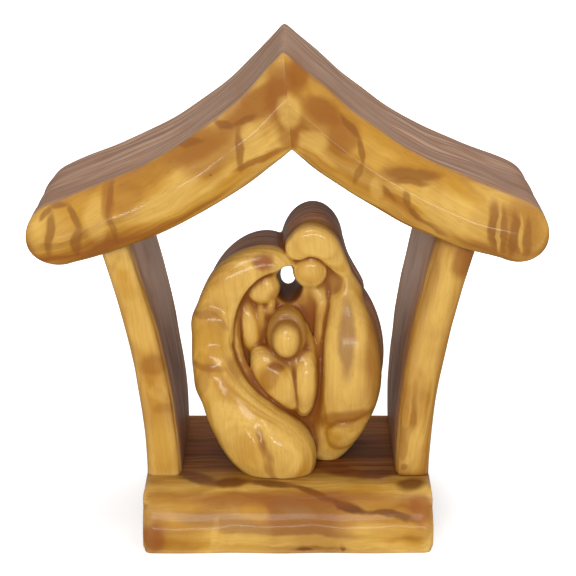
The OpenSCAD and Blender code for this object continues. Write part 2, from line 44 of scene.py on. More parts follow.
class Term:  # one socket, usable in a formula
    def __init__(self, tree, socket):
        self.tree, self.socket = tree, socket

    def join(self, operation, *others):
        row = [self if other is None else other for other in others]
        wide = any(isinstance(t, tuple) or isinstance(t, Term) and t.socket.type != "VALUE" for t in row)
        kind = "VectorMath" if wide else "Math"
        return self.tree.add(kind, dict(enumerate(row)), operation=operation)

    def __add__(self, other): return self.join("ADD", None, other)
    def __radd__(self, other): return self.join("ADD", other, None)
    def __sub__(self, other): return self.join("SUBTRACT", None, other)
    def __rsub__(self, other): return self.join("SUBTRACT", other, None)
    def __mul__(self, other): return self.join("MULTIPLY", None, other)
    def __rmul__(self, other): return self.join("MULTIPLY", other, None)
    def __truediv__(self, other): return self.join("DIVIDE", None, other)
    def __rtruediv__(self, other): return self.join("DIVIDE", other, None)
    def __pow__(self, other): return self.join("POWER", None, other)
    def __neg__(self): return self.join("MULTIPLY", None, -1.0)
    def least(self, other): return self.join("MINIMUM", None, other)
    def most(self, other): return self.join("MAXIMUM", None, other)
    def size(self): return self.join("ABSOLUTE", None)
    def root(self): return self.join("SQRT", None)


class Tree:  # a node tree that terms are added to
    def __init__(self, nodeTree):
        self.nodeTree = nodeTree
        nodeTree.nodes.clear()

    def add(self, kind, inputs=None, out=0, **settings):  # a shader node unless the kind says Node
        node = self.nodeTree.nodes.new(kind if "Node" in kind else "ShaderNode" + kind)
        for key, value in settings.items():
            if key == "stops":
                self.setStops(node.color_ramp, value)
            else:
                setattr(node, key, value)
        for key, value in (inputs or {}).items():
            self.feed(node.inputs[key], value)
        return Term(self, node.outputs[out]) if len(node.outputs) else node

    def setStops(self, ramp, stops):
        while len(ramp.elements) < len(stops):
            ramp.elements.new(0.5)
        for element, (place, colour) in zip(ramp.elements, stops):
            element.position = place
            element.color = (*colour, 1)

    def feed(self, socket, value):
        if isinstance(value, Term):
            self.nodeTree.links.new(value.socket, socket)
        elif isinstance(value, (int, float)) and socket.type == "VECTOR":
            socket.default_value = (value,) * 3
        elif isinstance(value, tuple) and socket.type == "RGBA":
            socket.default_value = (*value[:3], 1)
        else:
            socket.default_value = value

    def parts(self, vector):
        split = self.add("SeparateXYZ", {0: vector})
        return [Term(self, socket) for socket in split.socket.node.outputs]

    def vector(self, x, y, z):
        return self.add("CombineXYZ", {0: x, 1: y, 2: z})

    def blend(self, factor, a, b):
        return self.add("Mix", {0: factor, 6: a, 7: b}, 2, data_type="RGBA")

    def length(self, vector):
        return self.add("VectorMath", {0: vector}, 1, operation="LENGTH")

    def noise(self, vector, detail=2.0, rough=0.5, out=0):
        inputs = {"Vector": vector, "Scale": 1.0, "Detail": detail, "Roughness": rough}
        return self.add("TexNoise", inputs, out)

    def rise(self, value, low, high):  # smooth step from 0 at low to 1 at high
        inputs = {0: value, 1: low, 2: high, 3: 0.0, 4: 1.0}
        return self.add("MapRange", inputs, interpolation_type="SMOOTHSTEP")


def radians(turn):
    return tuple(math.radians(angle) for angle in turn)


def shade(red, green, blue):  # colour as seen on a screen, from 11 to 255
    return tuple(((c / 255 + 0.055) / 1.055) ** 2.4 for c in (red, green, blue))


def startMaterial(name):
    material = bpy.data.materials.new(name)
    material.use_nodes = True
    return material, Tree(material.node_tree)


# camera, light and floor

view = {"lens": 105.7, "place": (0, -0.374, 0.181), "down": 18.5}
lens = bpy.data.cameras.new("camera")
lens.lens, lens.sensor_width = view["lens"], 36
lens.clip_start, lens.clip_end = 0.01, 20
camera = bpy.data.objects.new("camera", lens)
camera.location = view["place"]
camera.rotation_euler = (math.radians(90 - view["down"]), 0, 0)
scene.collection.objects.link(camera)
scene.camera = camera
scene.view_settings.view_transform = "Standard"

lamps = {
    "front softbox": {"place": (-0.12, -1.05, 0.62), "aim": (0, 0, 0.06), "size": (0.55, 0.4), "watts": 5.9},
    "top softbox": {"place": (0.10, 0.12, 0.80), "aim": (0, 0, 0.06), "size": (0.6, 0.3), "watts": 2.6},
    "low strip": {"place": (0.03, -0.90, 0.02), "aim": (0, 0, 0.03), "size": (0.5, 0.06), "watts": 1.8},
}


def addLamp(name, lamp):
    light = bpy.data.lights.new(name, "AREA")
    light.shape, light.size, light.size_y = "RECTANGLE", *lamp["size"]
    light.energy = lamp["watts"]
    thing = bpy.data.objects.new(name, light)
    thing.location = lamp["place"]
    way = np.array(lamp["aim"]) - np.array(lamp["place"])
    across = math.hypot(way[0], way[1])
    thing.rotation_euler = (math.atan2(across, -way[2]), 0, math.atan2(-way[0], way[1]))
    thing.visible_camera = False
    scene.collection.objects.link(thing)


for name, lamp in lamps.items():
    addLamp(name, lamp)

surround = {"back": 0.18, "front": 0.40, "above": 0.40, "seen": 1.0, "glossed": 0.2}
world = bpy.data.worlds.new("studio")
scene.world = world
world.use_nodes = True
tree = Tree(world.node_tree)
_, ahead, above = tree.parts(tree.add("TexCoord", out="Generated"))
lit = surround["back"] + (surround["front"] - surround["back"]) * tree.rise(-ahead, -0.8, 0.6)
lit = lit + surround["above"] * tree.rise(above, 0.15, 0.9)
path = tree.add("LightPath")
rays = {socket.name: Term(tree, socket) for socket in path.socket.node.outputs}
direct = rays["Is Camera Ray"].most(rays["Is Transmission Ray"])
strength = lit + (surround["seen"] - lit) * direct
strength = strength.most(rays["Is Glossy Ray"] * surround["glossed"])
backdrop = tree.add("Background", {"Color": (1.0, 1.0, 1.0), "Strength": strength})
tree.add("OutputWorld", {"Surface": backdrop})


paper = {"low": (0.84,) * 3, "high": (0.86,) * 3, "in gloss": (0.25,) * 3, "fade": (0.04, 0.24), "glow": 0.45}


def floorMaterial():
    material, tree = startMaterial("paper")
    place = tree.add("TexCoord", out="Object")
    speck = tree.noise(place * 900.0, 3.0)
    colour = tree.blend(speck, paper["low"], paper["high"])
    glossed = tree.add("LightPath", out="Is Glossy Ray")
    colour = tree.blend(glossed, colour, paper["in gloss"])
    plain = tree.add("BsdfPrincipled", {
        "Base Color": colour, "Roughness": 0.9, "Specular IOR Level": 0.1})
    # the camera sees the paper go over into a white backdrop away from the piece
    away = tree.rise(tree.length(place), *paper["fade"])
    seen = tree.add("LightPath", out="Is Camera Ray")
    strength = paper["glow"] + (1 - paper["glow"]) * away
    glow = tree.add("Emission", {"Color": (1.0, 1.0, 1.0), "Strength": strength})
    lit = tree.add("AddShader", {0: plain, 1: glow})
    shown = tree.add("MixShader", {0: seen, 1: plain, 2: lit})
    tree.add("OutputMaterial", {"Surface": shown})
    return material


floorMesh = bpy.data.meshes.new("floor")
floorMesh.from_pydata([(-6, -6, 0), (6, -6, 0), (6, 6, 0), (-6, 6, 0)], [], [(0, 1, 2, 3)])
floor = bpy.data.objects.new("floor", floorMesh)
floor.data.materials.append(floorMaterial())
scene.collection.objects.link(floor)
print("camera, lamps and floor stand")


# varnished olive wood

# the crease tone paints shade in creases along with pooled varnish, the rubbed tone paints sheen on edges
# along with worn varnish, the mauve tone is a painted reflection and the ash tone painted light on the upper
# walls
oliveTones = {
    "pale": shade(214, 172, 86), "gold": shade(186, 136, 44), "brown": shade(142, 84, 24),
    "dark": shade(96, 50, 16), "line": shade(122, 70, 22), "red": shade(142, 76, 30),
    "mauve": shade(176, 142, 122), "ash": shade(236, 208, 188), "grey": shade(150, 108, 62),
    "crease": shade(120, 62, 16), "rubbed_and_sheen": shade(228, 190, 120),
}
# the rubbed, hollow and crease levels set painted sheen on edges and painted shade in hollows and creases,
# besides worn and pooled varnish
varnish = {
    "rubbed_and_sheen": 0.45, "hollow": 0.65, "crease": 0.85, "fibre": 0.13, "smudge": 0.22, "pores": 0.14,
    "roughness": 0.34, "coat roughness": 0.13, "specular": 0.1, "bump": 0.55, "bump depth": 0.0004,
}
# sizes of the pattern in the wood, in millimetres or in rings, and the levels it shows at
pattern = {
    "sway size": 17.0, "ragged size": 6.0, "ragged reach": 2.4, "smudge size": 9.0, "band length": 70.0,
    "flame width": 2.4, "flame length": 45.0, "flame fade": 0.14, "vein width": 2.6, "vein length": 60.0,
    "thread width": 0.9, "thread length": 30.0, "vein level": (0.60, 0.68), "thread level": (0.38, 0.64),
    "shadow level": (0.52, 0.40), "fibre level": (0.42, 0.62), "pore level": (0.66, 0.74),
    "smudge level": (0.48, 0.72), "mark edge": (1.25, 0.6),
}


def oliveWood(name, grain, marks):
    material, tree = startMaterial(name)

    def tinted(colour, *rows):
        for amount, tone in rows:
            colour = tree.blend(amount, colour, oliveTones[tone])
        return colour

    place = tree.add("TexCoord", out="Object") * 1000.0  # in millimetres
    sway = (tree.noise(place / pattern["sway size"] + grain["seed"], out=1) - 0.5) * grain["sway"]
    rag = tree.noise(place / pattern["ragged size"] + grain["seed"], out=1) - 0.5
    ragged = place + rag * pattern["ragged reach"]

    # growth rings round a far heart, seen as bands and as dark flames
    turned = tree.add("Mapping", {0: place + sway - grain["heart"], 2: radians(grain["turn"])},
                      vector_type="POINT")
    x, y, along = tree.parts(turned)
    ring = (x * x + y * y).root()
    rings = ring / grain["ring"]
    band = tree.noise(tree.vector(rings, along / pattern["band length"], 0.0), 3.0, 0.55)
    bands = [(0.32, "brown"), (0.43, "gold"), (0.57, "pale"), (0.72, "gold")]
    stops = [(level, oliveTones[tone]) for level, tone in bands]
    colour = tree.add("ValToRGB", {0: band}, stops=stops)
    spot = tree.vector(rings / pattern["flame width"] + 7.0, along / pattern["flame length"], 3.0)
    flame = tree.noise(spot)
    dark = tree.rise(flame, grain["flame"], grain["flame"] + pattern["flame fade"]) * grain["depth"]
    spot = tree.vector(rings * pattern["vein width"], along / pattern["vein length"], 9.0)
    vein = tree.noise(spot, 1.0, 0.4)
    line = tree.rise(vein, *pattern["vein level"]) * grain["lines"]
    colour = tinted(colour, (dark, "brown"), (tree.rise(dark, 0.55, 1.0) * 0.6, "dark"), (line, "dark"))

    # edges are lighter, partly varnish rubbed thin and partly a painted sheen along the arrises; creases are
    # darkened below, partly varnish lying deeper and partly painted shade, and broad hollows with painted
    # shade
    crease, rub, hollow = (tree.add("Attribute", out="Fac", attribute_name=layer)
                           for layer in ("crease", "rub", "hollow"))
    colour = tinted(colour, (rub * varnish["rubbed_and_sheen"], "rubbed_and_sheen"))

    def marked(colour, rows):
        for centre, half, turn, tone, strength in rows:
            inputs = {0: ragged, 1: centre, 2: radians(turn), 3: half}
            off = tree.add("Mapping", inputs, vector_type="TEXTURE")
            colour = tinted(colour, (tree.rise(tree.length(off), *pattern["mark edge"]) * strength, tone))
        return colour

    colour = marked(colour, [mark for mark in marks if mark[0][1] < grain["heart_and_lighting_from"][1]])

    # browner heartwood away from the front, with fine lines; its tones, set per piece, also paint the light
    # there: painted shade on the base top, painted light and shade on the inner wall faces, a painted grazing
    # reflection on the tops of the roof and of the figures
    behind = tree.rise(tree.parts(ragged)[1], *grain["heart_and_lighting_from"]) * grain["heart_and_lighting_share"]
    spot = tree.vector(ring / pattern["thread width"], along / pattern["thread length"], 5.0)
    thread = tree.rise(tree.noise(spot, 2.0, 0.6), *pattern["thread level"])
    heart = tree.blend(thread, grain["heart_and_lighting_tone"], grain["heart_and_lighting_line"])
    heart = tree.blend(tree.rise(band, *pattern["shadow level"]) * 0.6, heart, grain["heart_and_lighting_line"])
    colour = tree.blend(behind, colour, heart)
    colour = marked(colour, [mark for mark in marks if mark[0][1] >= grain["heart_and_lighting_from"][1]])

    # fine fibres and pores along the grain
    fibre = tree.noise(turned * (1.6, 1.6, 0.07), 3.0, 0.6)
    pores = tree.rise(tree.noise(turned * (3.4, 3.4, 0.5), 1.0, 0.5), *pattern["pore level"])
    smudge = tree.noise(place / pattern["smudge size"])
    grit = tree.noise(place * 1.7, 2.0, 0.6)
    fibreTint = tree.rise(fibre, *pattern["fibre level"]) * varnish["fibre"]
    smudgeTint = tree.rise(smudge, *pattern["smudge level"]) * varnish["smudge"]
    # painted shade: creases (along with varnish lying deeper) and broad hollows are darkened here
    colour = tinted(colour, (fibreTint, "brown"), (smudgeTint, "brown"), (pores * varnish["pores"], "dark"),
                    (hollow * varnish["hollow"], "brown"), (crease * varnish["crease"], "crease"))
    rough = varnish["roughness"] + 0.16 * smudge + 0.06 * fibre + 0.10 * crease - 0.05 * rub

    dents = tree.noise(place / pattern["ragged size"])
    height = 0.7 * dents + 0.12 * fibre - 0.12 * pores + 0.07 * grit
    bump = tree.add("Bump", {
        "Strength": varnish["bump"], "Distance": varnish["bump depth"], "Height": height})
    coat = grain["gloss"] * (1.0 - (1.0 - grain["heart gloss"]) * behind)
    wood = tree.add("BsdfPrincipled", {
        "Base Color": colour, "Roughness": rough, "Normal": bump, "IOR": 1.5, "Coat IOR": 1.5,
        "Coat Weight": coat, "Coat Roughness": varnish["coat roughness"],
        "Specular IOR Level": varnish["specular"]})
    tree.add("OutputMaterial", {"Surface": wood})
    return material


# a mark is a soft patch: centre, half sizes, turn, tone, strength
# frontMarks share one depth and reach, so their rows hold x, z, half sizes, turn, tone, strength

def frontMarks(depth, reach, rows):
    return [((x, depth, z), (wide, reach, tall), (0, turn, 0), tone, strength)
            for x, z, wide, tall, turn, tone, strength in rows]


# the pegs are plain unvarnished hardwood
pegWood = {"pale": shade(214, 184, 138), "dark": shade(176, 138, 92), "grain": 0.9, "roughness": 0.6}


def plainWood(name, values):
    material, tree = startMaterial(name)
    place = tree.add("TexCoord", out="Object") * 1000.0
    fibre = tree.noise(place * (values["grain"], values["grain"], 0.08), 3.0, 0.6)
    pores = tree.rise(tree.noise(place * (4.0, 4.0, 0.6), 1.0, 0.5), 0.62, 0.72)
    colour = tree.blend(tree.rise(fibre, 0.35, 0.65), values["pale"], values["dark"])
    colour = tree.blend(pores * 0.4, colour, values["dark"])
    bump = tree.add("Bump", {
        "Strength": 0.4, "Distance": 0.0002, "Height": fibre - 0.5 * pores})
    wood = tree.add("BsdfPrincipled", {
        "Base Color": colour, "Roughness": values["roughness"] + 0.15 * fibre, "Normal": bump})
    tree.add("OutputMaterial", {"Surface": wood})
    return material


pegMaterial = plainWood("peg wood", pegWood)
pegs = [thing for node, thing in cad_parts.items() if "peg" in node]
for peg in pegs:
    for slot in peg.material_slots:
        slot.material = pegMaterial
print(f"{len(pegs)} pegs have their wood")


# meshes

def meshObject(name, points, faces, material):
    mesh = bpy.data.meshes.new(name)
    mesh.from_pydata((np.asarray(points) * mm).tolist(), [], faces)
    mesh.materials.append(material)
    thing = bpy.data.objects.new(name, mesh)
    scene.collection.objects.link(thing)
    return thing


def pulled(items, key, width, kind=float):
    flat = np.empty(len(items) * width, kind)
    items.foreach_get(key, flat)
    return flat.reshape(-1, width)


def meshPoints(mesh):  # millimetres
    return pulled(mesh.vertices, "co", 3) / mm


def meshNormals(mesh):
    return pulled(mesh.vertex_normals, "vector", 3)


def meshEdges(mesh):
    return pulled(mesh.edges, "vertices", 2, int)


def relaxed(points, edges, rounds, share=0.5):  # each point drawn towards the mean of its neighbours
    n, (a, b) = len(points), edges.T
    count = np.bincount(edges.ravel(), minlength=n)[:, None]
    for _ in range(rounds):
        total = np.stack([np.bincount(a, row[b], n) + np.bincount(b, row[a], n) for row in points.T], 1)
        points = points + share * (total / count - points)
    return points


def finishPiece(thing, node, reach):  # marks creases, hollows and rubbed edges (masks for painted shade and sheen as well as pooled and worn varnish), then hands the piece over
    mesh = thing.data
    mesh.polygons.foreach_set("use_smooth", [True] * len(mesh.polygons))
    mesh.update()
    points, normals, edges = meshPoints(mesh), meshNormals(mesh), meshEdges(mesh)
    near = relaxed(points, edges, reach["rounds"])
    far = relaxed(near, edges, reach["rounds"] * 5)
    sunk, deep = (((smooth - points) * normals).sum(1) for smooth in (near, far))
    calm = np.clip((np.abs(points[:, 0]) - reach["seam"]) / 3, 0, 1) if "seam" in reach else 1
    # crease and hollow are masks for painted shade, rub a mask for painted sheen on edges
    marks = {"crease": sunk / reach["crease"], "rub": -sunk / reach["rub"], "hollow": deep / reach["hollow"]}
    for name, value in marks.items():
        layer = mesh.attributes.new(name, "FLOAT", "POINT")
        layer.data.foreach_set("value", (np.clip(value, 0, 1) * calm).astype(np.float32))
    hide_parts(node)
    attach(thing, "root")
    print(f"{thing.name}: {len(mesh.polygons)} faces")


handWaves = {"count": 14, "finest": 0.6, "coarsest": 1.6, "evened": 3.7}


def handWork(points, normals, amount, size, seed):  # slow unevenness left by knife and sandpaper
    rng = np.random.default_rng(seed)
    sway = np.zeros(len(points))
    for _ in range(handWaves["count"]):
        way = rng.normal(size=3)
        pace = rng.uniform(handWaves["finest"], handWaves["coarsest"])
        way *= pace * 2 * math.pi / size / np.linalg.norm(way)
        sway += np.sin(points @ way + rng.uniform(0, 2 * math.pi))
    return points + normals * (amount * sway / handWaves["evened"])[:, None]


# roof slabs

roof = {
    "ridgeHeight": 114.2, "ridgeThickness": 21.9, "eaveThickness": 14.4, "ridgeTopX": -0.9,
    "ridgeBottomX": 0.85, "ridgePitch": {-1: 50.5, 1: 41.1}, "upperRun": {-1: 2.0, 1: 17.5},
    "eavePitch": 22.8, "bendRadius": 91, "lowerRun": 17.7, "nose": 7.7, "noseDraw": 0.3,
    "underRadius": 116.5, "front": -17.5, "back": 24.4,
    "upperLean": 2.4, "lowerLean": 1.8, "topEdge": 1.6, "bottomEdge": 3.0, "ridgeEase": 0.4,
    "arris": {-1: (0.56, 0.50, 0.42), 1: (0.52, 0.47, 0.42)}, "arrisRadius": {-1: (6, 9), 1: (1.0, 6)},
    "uneven": 0.16, "unevenSize": 17, "mitreFlat": 1.2, "mitreFade": 4,
    "cuts": (70, 14, 14, 70, 28), "cornerSteps": 8, "ridgeSteps": (0, 0.4, 0.8), "ridgeEnd": 1.6,
    "longSteps": 120, "noseSteps": 25,
}
eavePitch = math.radians(roof["eavePitch"])
eaveOut = np.array([math.cos(eavePitch), -math.sin(eavePitch)])
eaveUp = np.array([math.sin(eavePitch), math.cos(eavePitch)])


def slabLength(side):
    bend = roof["bendRadius"] * math.radians(roof["ridgePitch"][side] - roof["eavePitch"])
    return roof["upperRun"][side] + bend + roof["lowerRun"]


def roofTop(side, s):  # straight run, hollow bend, straight run
    pitch, run, r = math.radians(roof["ridgePitch"][side]), roof["upperRun"][side], roof["bendRadius"]
    bend = r * (pitch - eavePitch)
    first, turn, last = min(s, run), min(max(s - run, 0), bend) / r, max(s - run - bend, 0)
    return np.array([
        side * roof["ridgeTopX"] + first * math.cos(pitch) + r * (math.sin(pitch) - math.sin(pitch - turn))
        + last * math.cos(eavePitch),
        roof["ridgeHeight"] - first * math.sin(pitch) - r * (math.cos(pitch - turn) - math.cos(pitch))
        - last * math.sin(eavePitch)])


def underArc(side):  # middle, first and last angle of the long arc below
    first = np.array([side * roof["ridgeBottomX"], roof["ridgeHeight"] - roof["ridgeThickness"]])
    last = roofTop(side, slabLength(side)) - roof["eaveThickness"] * eaveUp
    chord = last - first
    half = np.linalg.norm(chord) / 2
    rise = math.sqrt(roof["underRadius"] ** 2 - half ** 2)
    middle = (first + last) / 2 + rise * np.array([-chord[1], chord[0]]) / half / 2
    return middle, *(math.atan2(*(p - middle)[::-1]) for p in (first, last))


def roofUnder(side, share):
    middle, first, last = underArc(side)
    angle = first + (last - first) * share
    return middle + roof["underRadius"] * np.array([math.cos(angle), math.sin(angle)])


def roundedPath(corners, counts, steps):  # flat outline with round corners and evenly cut sides
    corners = [(np.array(p, float), r) for p, r in corners]
    arcs = []
    for i, (p, r) in enumerate(corners):
        toLast = corners[i - 1][0] - p
        toNext = corners[(i + 1) % len(corners)][0] - p
        toLast /= np.linalg.norm(toLast)
        toNext /= np.linalg.norm(toNext)
        halfAngle = math.acos(np.clip(toLast @ toNext, -1, 1)) / 2
        middle = p + (toLast + toNext) / np.linalg.norm(toLast + toNext) * r / math.sin(halfAngle)
        a = p + toLast * r / math.tan(halfAngle) - middle
        b = p + toNext * r / math.tan(halfAngle) - middle
        sweep = math.pi - 2 * halfAngle
        arcs.append([middle + (a * math.sin(sweep * (1 - t)) + b * math.sin(sweep * t)) / math.sin(sweep)
                     for t in np.linspace(0, 1, steps + 1)])
    path = []
    for i, arc in enumerate(arcs):
        after = arcs[(i + 1) % len(arcs)][0]
        path += arc + [arc[-1] + (after - arc[-1]) * k / counts[i] for k in range(1, counts[i])]
    return np.array(path)


def slabRing(side, bottom, top, share, drawIn):
    height = np.linalg.norm(top - bottom)
    full = min(1, height / roof["eaveThickness"])
    front, back = roof["front"] + drawIn, roof["back"] - drawIn
    high, middle, low = roof["arris"][side]
    arris = high + (middle - high) * min(1, share * 2) + (low - middle) * max(0, share * 2 - 1)
    near, far = roof["arrisRadius"][side]
    outline = roundedPath([
        ((back, 0), roof["bottomEdge"] * full),
        ((front + roof["lowerLean"] * full, 0), roof["bottomEdge"] * full),
        ((front, height * arris), (near + (far - near) * share) * full),
        ((front + roof["upperLean"] * full, height), roof["topEdge"] * full),
        ((back, height), roof["topEdge"] * full)], roof["cuts"], roof["cornerSteps"])
    spot = bottom + (top - bottom) * outline[:, 1:] / height
    return np.stack([side * spot[:, 0], outline[:, 0], spot[:, 1]], 1)


def skinned(rings):  # quads between rings, both ends closed to their middles
    rows, n = len(rings), len(rings[0])
    i, j = np.meshgrid(np.arange(rows - 1), np.arange(n), indexing="ij")
    a, b = i * n + j, i * n + (j + 1) % n
    faces = np.stack([a, b, b + n, a + n], -1).reshape(-1, 4).tolist()
    first, last = rows * n, rows * n + 1
    faces += [(k, first, (k + 1) % n) for k in range(n)]
    faces += [(first - n + k, first - n + (k + 1) % n, last) for k in range(n)]
    return np.concatenate(rings + [[rings[0].mean(0)], [rings[-1].mean(0)]]), faces


def roofSlab(name, side, material):
    long = slabLength(side)
    steps = np.concatenate([roof["ridgeSteps"], np.linspace(roof["ridgeEnd"], long, roof["longSteps"])])
    rings = []
    for s in steps:
        top = roofTop(side, s) - np.array([0, roof["ridgeEase"] * max(0, 1 - s / roof["ridgeEnd"]) ** 2])
        rings.append(slabRing(side, roofUnder(side, s / long), top, s / long, 0))
    heart = roofTop(side, long) - eaveUp * roof["eaveThickness"] / 2
    for angle in np.radians(np.linspace(0, 89, roof["noseSteps"])[1:]):
        across = eaveUp * roof["eaveThickness"] / 2 * math.cos(angle)
        out = heart + eaveOut * roof["nose"] * math.sin(angle)
        drawIn = roof["nose"] * roof["noseDraw"] * (1 - math.cos(angle))
        rings.append(slabRing(side, out - across, out + across, 1, drawIn))
    points, faces = skinned(rings)
    if side < 0:
        faces = [face[::-1] for face in faces]
    thing = meshObject(name, points, faces, material)
    thing.data.update()
    moved = handWork(points, meshNormals(thing.data), roof["uneven"], roof["unevenSize"], 5 + side)
    # the mitre stays flat and its rim crisp
    near = np.clip((np.abs(points[:, 0]) - roof["mitreFlat"]) / roof["mitreFade"], 0, 1)[:, None]
    thing.data.vertices.foreach_set("co", ((points + (moved - points) * near) * mm).ravel())
    rim = (meshEdges(thing.data) < len(rings[0])).all(1)
    thing.data.attributes.new("sharp_edge", "BOOLEAN", "EDGE").data.foreach_set("value", rim)
    return thing


# the roof heart tones are partly a painted grazing reflection on the slab tops
leftRoofGrain = {
    "gloss": 0.36, "seed": (3.1, 0.4, 1.7), "sway": (5.0, 3.4, 5.0), "heart": (0.0, 74.0, 60.0),
    "turn": (0, -60, 0), "ring": 2.6, "flame": 0.54, "depth": 0.7, "lines": 0.3, "heart_and_lighting_from": (-15.5, -12.5),
    "heart_and_lighting_share": 0.95, "heart gloss": 0.7, "heart_and_lighting_tone": shade(184, 148, 124),
    "heart_and_lighting_line": shade(132, 100, 84),
}
rightRoofGrain = {**leftRoofGrain, "seed": (9.3, 5.2, 2.6), "turn": (0, 60, 0), "ring": 2.4}
# besides grain, some long patches along the slope on both fronts are painted light and shade: browner on the
# upward-facing upper facet, paler on the forward-facing lower half
leftRoofMarks = frontMarks(-17, 7, [
    (-34.6, 84, 10, 5.5, -20, "gold", 0.85), (-45.5, 79.5, 5.5, 3.5, -15, "gold", 0.75),
    (-24, 91.5, 12, 3, -27, "gold", 0.8), (-30.8, 87.5, 9.1, 3.1, -24, "brown", 0.45),
    (-19.1, 94.2, 10.1, 3.2, -27, "brown", 0.6), (-5.7, 103.7, 11, 3.2, -34, "brown", 0.85),
    (-1, 105.2, 4.2, 7.7, 0, "brown", 0.8), (-17.6, 92, 7.3, 4.8, -28, "brown", 0.6),
    (0.1, 97.1, 3.1, 4.4, 0, "brown", 0.65), (-34.6, 81.5, 4.6, 4, 0, "brown", 0.35),
    (-27.3, 81.1, 10, 2.9, -27, "pale", 0.8), (-7.5, 94.2, 2.9, 5.6, 0, "pale", 0.7),
    (-42.4, 77.7, 2.6, 5.6, 0, "pale", 0.6), (-55.7, 74.6, 1.7, 4.8, 0, "pale", 0.5),
    (-38.9, 82.2, 0.8, 4.2, 10, "line", 0.64), (-38.4, 75, 0.8, 3.9, -17, "line", 0.51),
    (-39.5, 81.5, 1.7, 4.8, 0, "brown", 0.6), (-53.4, 78.4, 2.2, 0.8, -54, "line", 0.68),
    (-50.4, 80.2, 2.2, 0.8, -6, "line", 0.64), (-47, 77.8, 1, 3, -25, "line", 0.68),
    (-46.5, 72.3, 1.2, 3.5, 10, "line", 0.68), (-52.6, 73.7, 1, 5.2, 6, "line", 0.68),
    (-13.9, 98.5, 2.6, 1, 12, "line", 0.72), (-9.4, 99.5, 3, 0.8, -30, "line", 0.68),
    (-10.5, 92.9, 1, 5, -2, "line", 0.68), (-21.2, 94.3, 3.3, 0.8, -13, "line", 0.59),
    (-6.1, 90.8, 6.8, 0.8, -24, "brown", 0.8), (-17.1, 87.9, 0.3, 0.3, 0, "line", 0.77),
    (0.6, 101.7, 2.8, 3.9, 0, "pale", 0.7),
])
rightRoofMarks = frontMarks(-17, 7, [
    (-1, 105.2, 4.2, 7.7, 0, "brown", 0.8), (0.1, 97.1, 3.1, 4.4, 0, "brown", 0.65),
    (15.4, 88.2, 17.1, 2.6, 39, "brown", 0.5), (2.6, 110.2, 2.6, 4.4, 0, "brown", 0.85),
    (-0.3, 96.4, 3.2, 3.2, 0, "brown", 0.8), (24, 94.2, 19, 3.2, 32, "gold", 0.9),
    (7.6, 101.5, 4.8, 2.9, 35, "brown", 0.85), (12, 96.4, 3.8, 4.8, 0, "brown", 0.65),
    (0.6, 101.7, 2.8, 3.9, 0, "pale", 0.7), (5.8, 94.9, 3.1, 2.4, 35, "pale", 0.6),
    (13.4, 98.2, 3.5, 0.8, 55, "line", 0.68), (15.6, 93, 0.8, 2.8, -10, "line", 0.72),
    (15.4, 88.1, 0.7, 2.8, 16, "line", 0.51), (26.6, 87.5, 7.3, 2.4, 8, "brown", 0.5),
    (26.9, 87.6, 6.7, 1.4, 7, "line", 0.64), (26.2, 86, 4.4, 0.8, 9, "line", 0.59),
    (21.6, 83.7, 3.2, 0.8, 56, "brown", 0.8), (25.8, 82, 0.8, 2.1, -19, "line", 0.59),
    (28.1, 78.6, 2.7, 0.8, 45, "line", 0.72), (32.4, 75.2, 3.5, 0.8, 33, "line", 0.68),
    (37, 78.4, 7.7, 4.8, 18, "pale", 0.85), (19.4, 84.5, 1.7, 3.2, 0, "pale", 0.5),
    (50.7, 75, 6.1, 7.3, 0, "brown", 0.6), (45.2, 75.9, 1.4, 6, -3, "line", 0.72),
    (47.3, 74.6, 0.8, 5.6, -2, "line", 0.51), (49.5, 73.8, 1.2, 5.4, 4, "line", 0.64),
    (52.7, 73.2, 1, 4.9, 3, "line", 0.51), (46.3, 74.6, 0.5, 4.8, 0, "pale", 0.6),
    (51.1, 73.9, 0.5, 4.4, 0, "pale", 0.6),
])
leftRoofWood = oliveWood("left roof wood", leftRoofGrain, leftRoofMarks)
rightRoofWood = oliveWood("right roof wood", rightRoofGrain, rightRoofMarks)
leftSlab = roofSlab("left_roof_slab_wood", -1, leftRoofWood)
rightSlab = roofSlab("right_roof_slab_wood", 1, rightRoofWood)
roofReach = {"rounds": 24, "crease": 1.6, "rub": 0.45, "hollow": 3.0, "seam": 2.0}
finishPiece(leftSlab, "left_roof_slab", roofReach)
finishPiece(rightSlab, "right_roof_slab", roofReach)


# walls and base, grown in geometry nodes

def growPiece(name, build, values, material):
    group = bpy.data.node_groups.new(name, "GeometryNodeTree")
    tree = Tree(group)
    for label, value in values.items():
        kind = "NodeSocketInt" if isinstance(value, int) else "NodeSocketFloat"
        group.interface.new_socket(label, in_out="INPUT", socket_type=kind)
    group.interface.new_socket("wood", in_out="INPUT", socket_type="NodeSocketMaterial")
    group.interface.new_socket("piece", in_out="OUTPUT", socket_type="NodeSocketGeometry")
    entry = tree.add("NodeGroupInput").socket.node
    given = {socket.name: Term(tree, socket) for socket in entry.outputs if socket.name}
    block, spot = build(tree, given)
    shaped = tree.add("GeometryNodeSetPosition", {"Geometry": block, "Position": spot * mm})
    real = tree.add("GeometryNodeRealizeInstances", {"Geometry": shaped})
    painted = tree.add("GeometryNodeSetMaterial", {"Geometry": real, "Material": given["wood"]})
    tree.feed(tree.add("NodeGroupOutput").inputs["piece"], painted)
    thing = bpy.data.objects.new(name, bpy.data.meshes.new(name + " start"))
    scene.collection.objects.link(thing)
    modifier = thing.modifiers.new("grow", "NODES")
    modifier.node_group = group
    for item in group.interface.items_tree:
        if item.in_out == "INPUT":
            modifier[item.identifier] = material if item.name == "wood" else values[item.name]
    grown = bpy.data.meshes.new_from_object(thing.evaluated_get(bpy.context.evaluated_depsgraph_get()))
    thing.modifiers.clear()
    thing.data = grown
    grown.name = name
    return thing


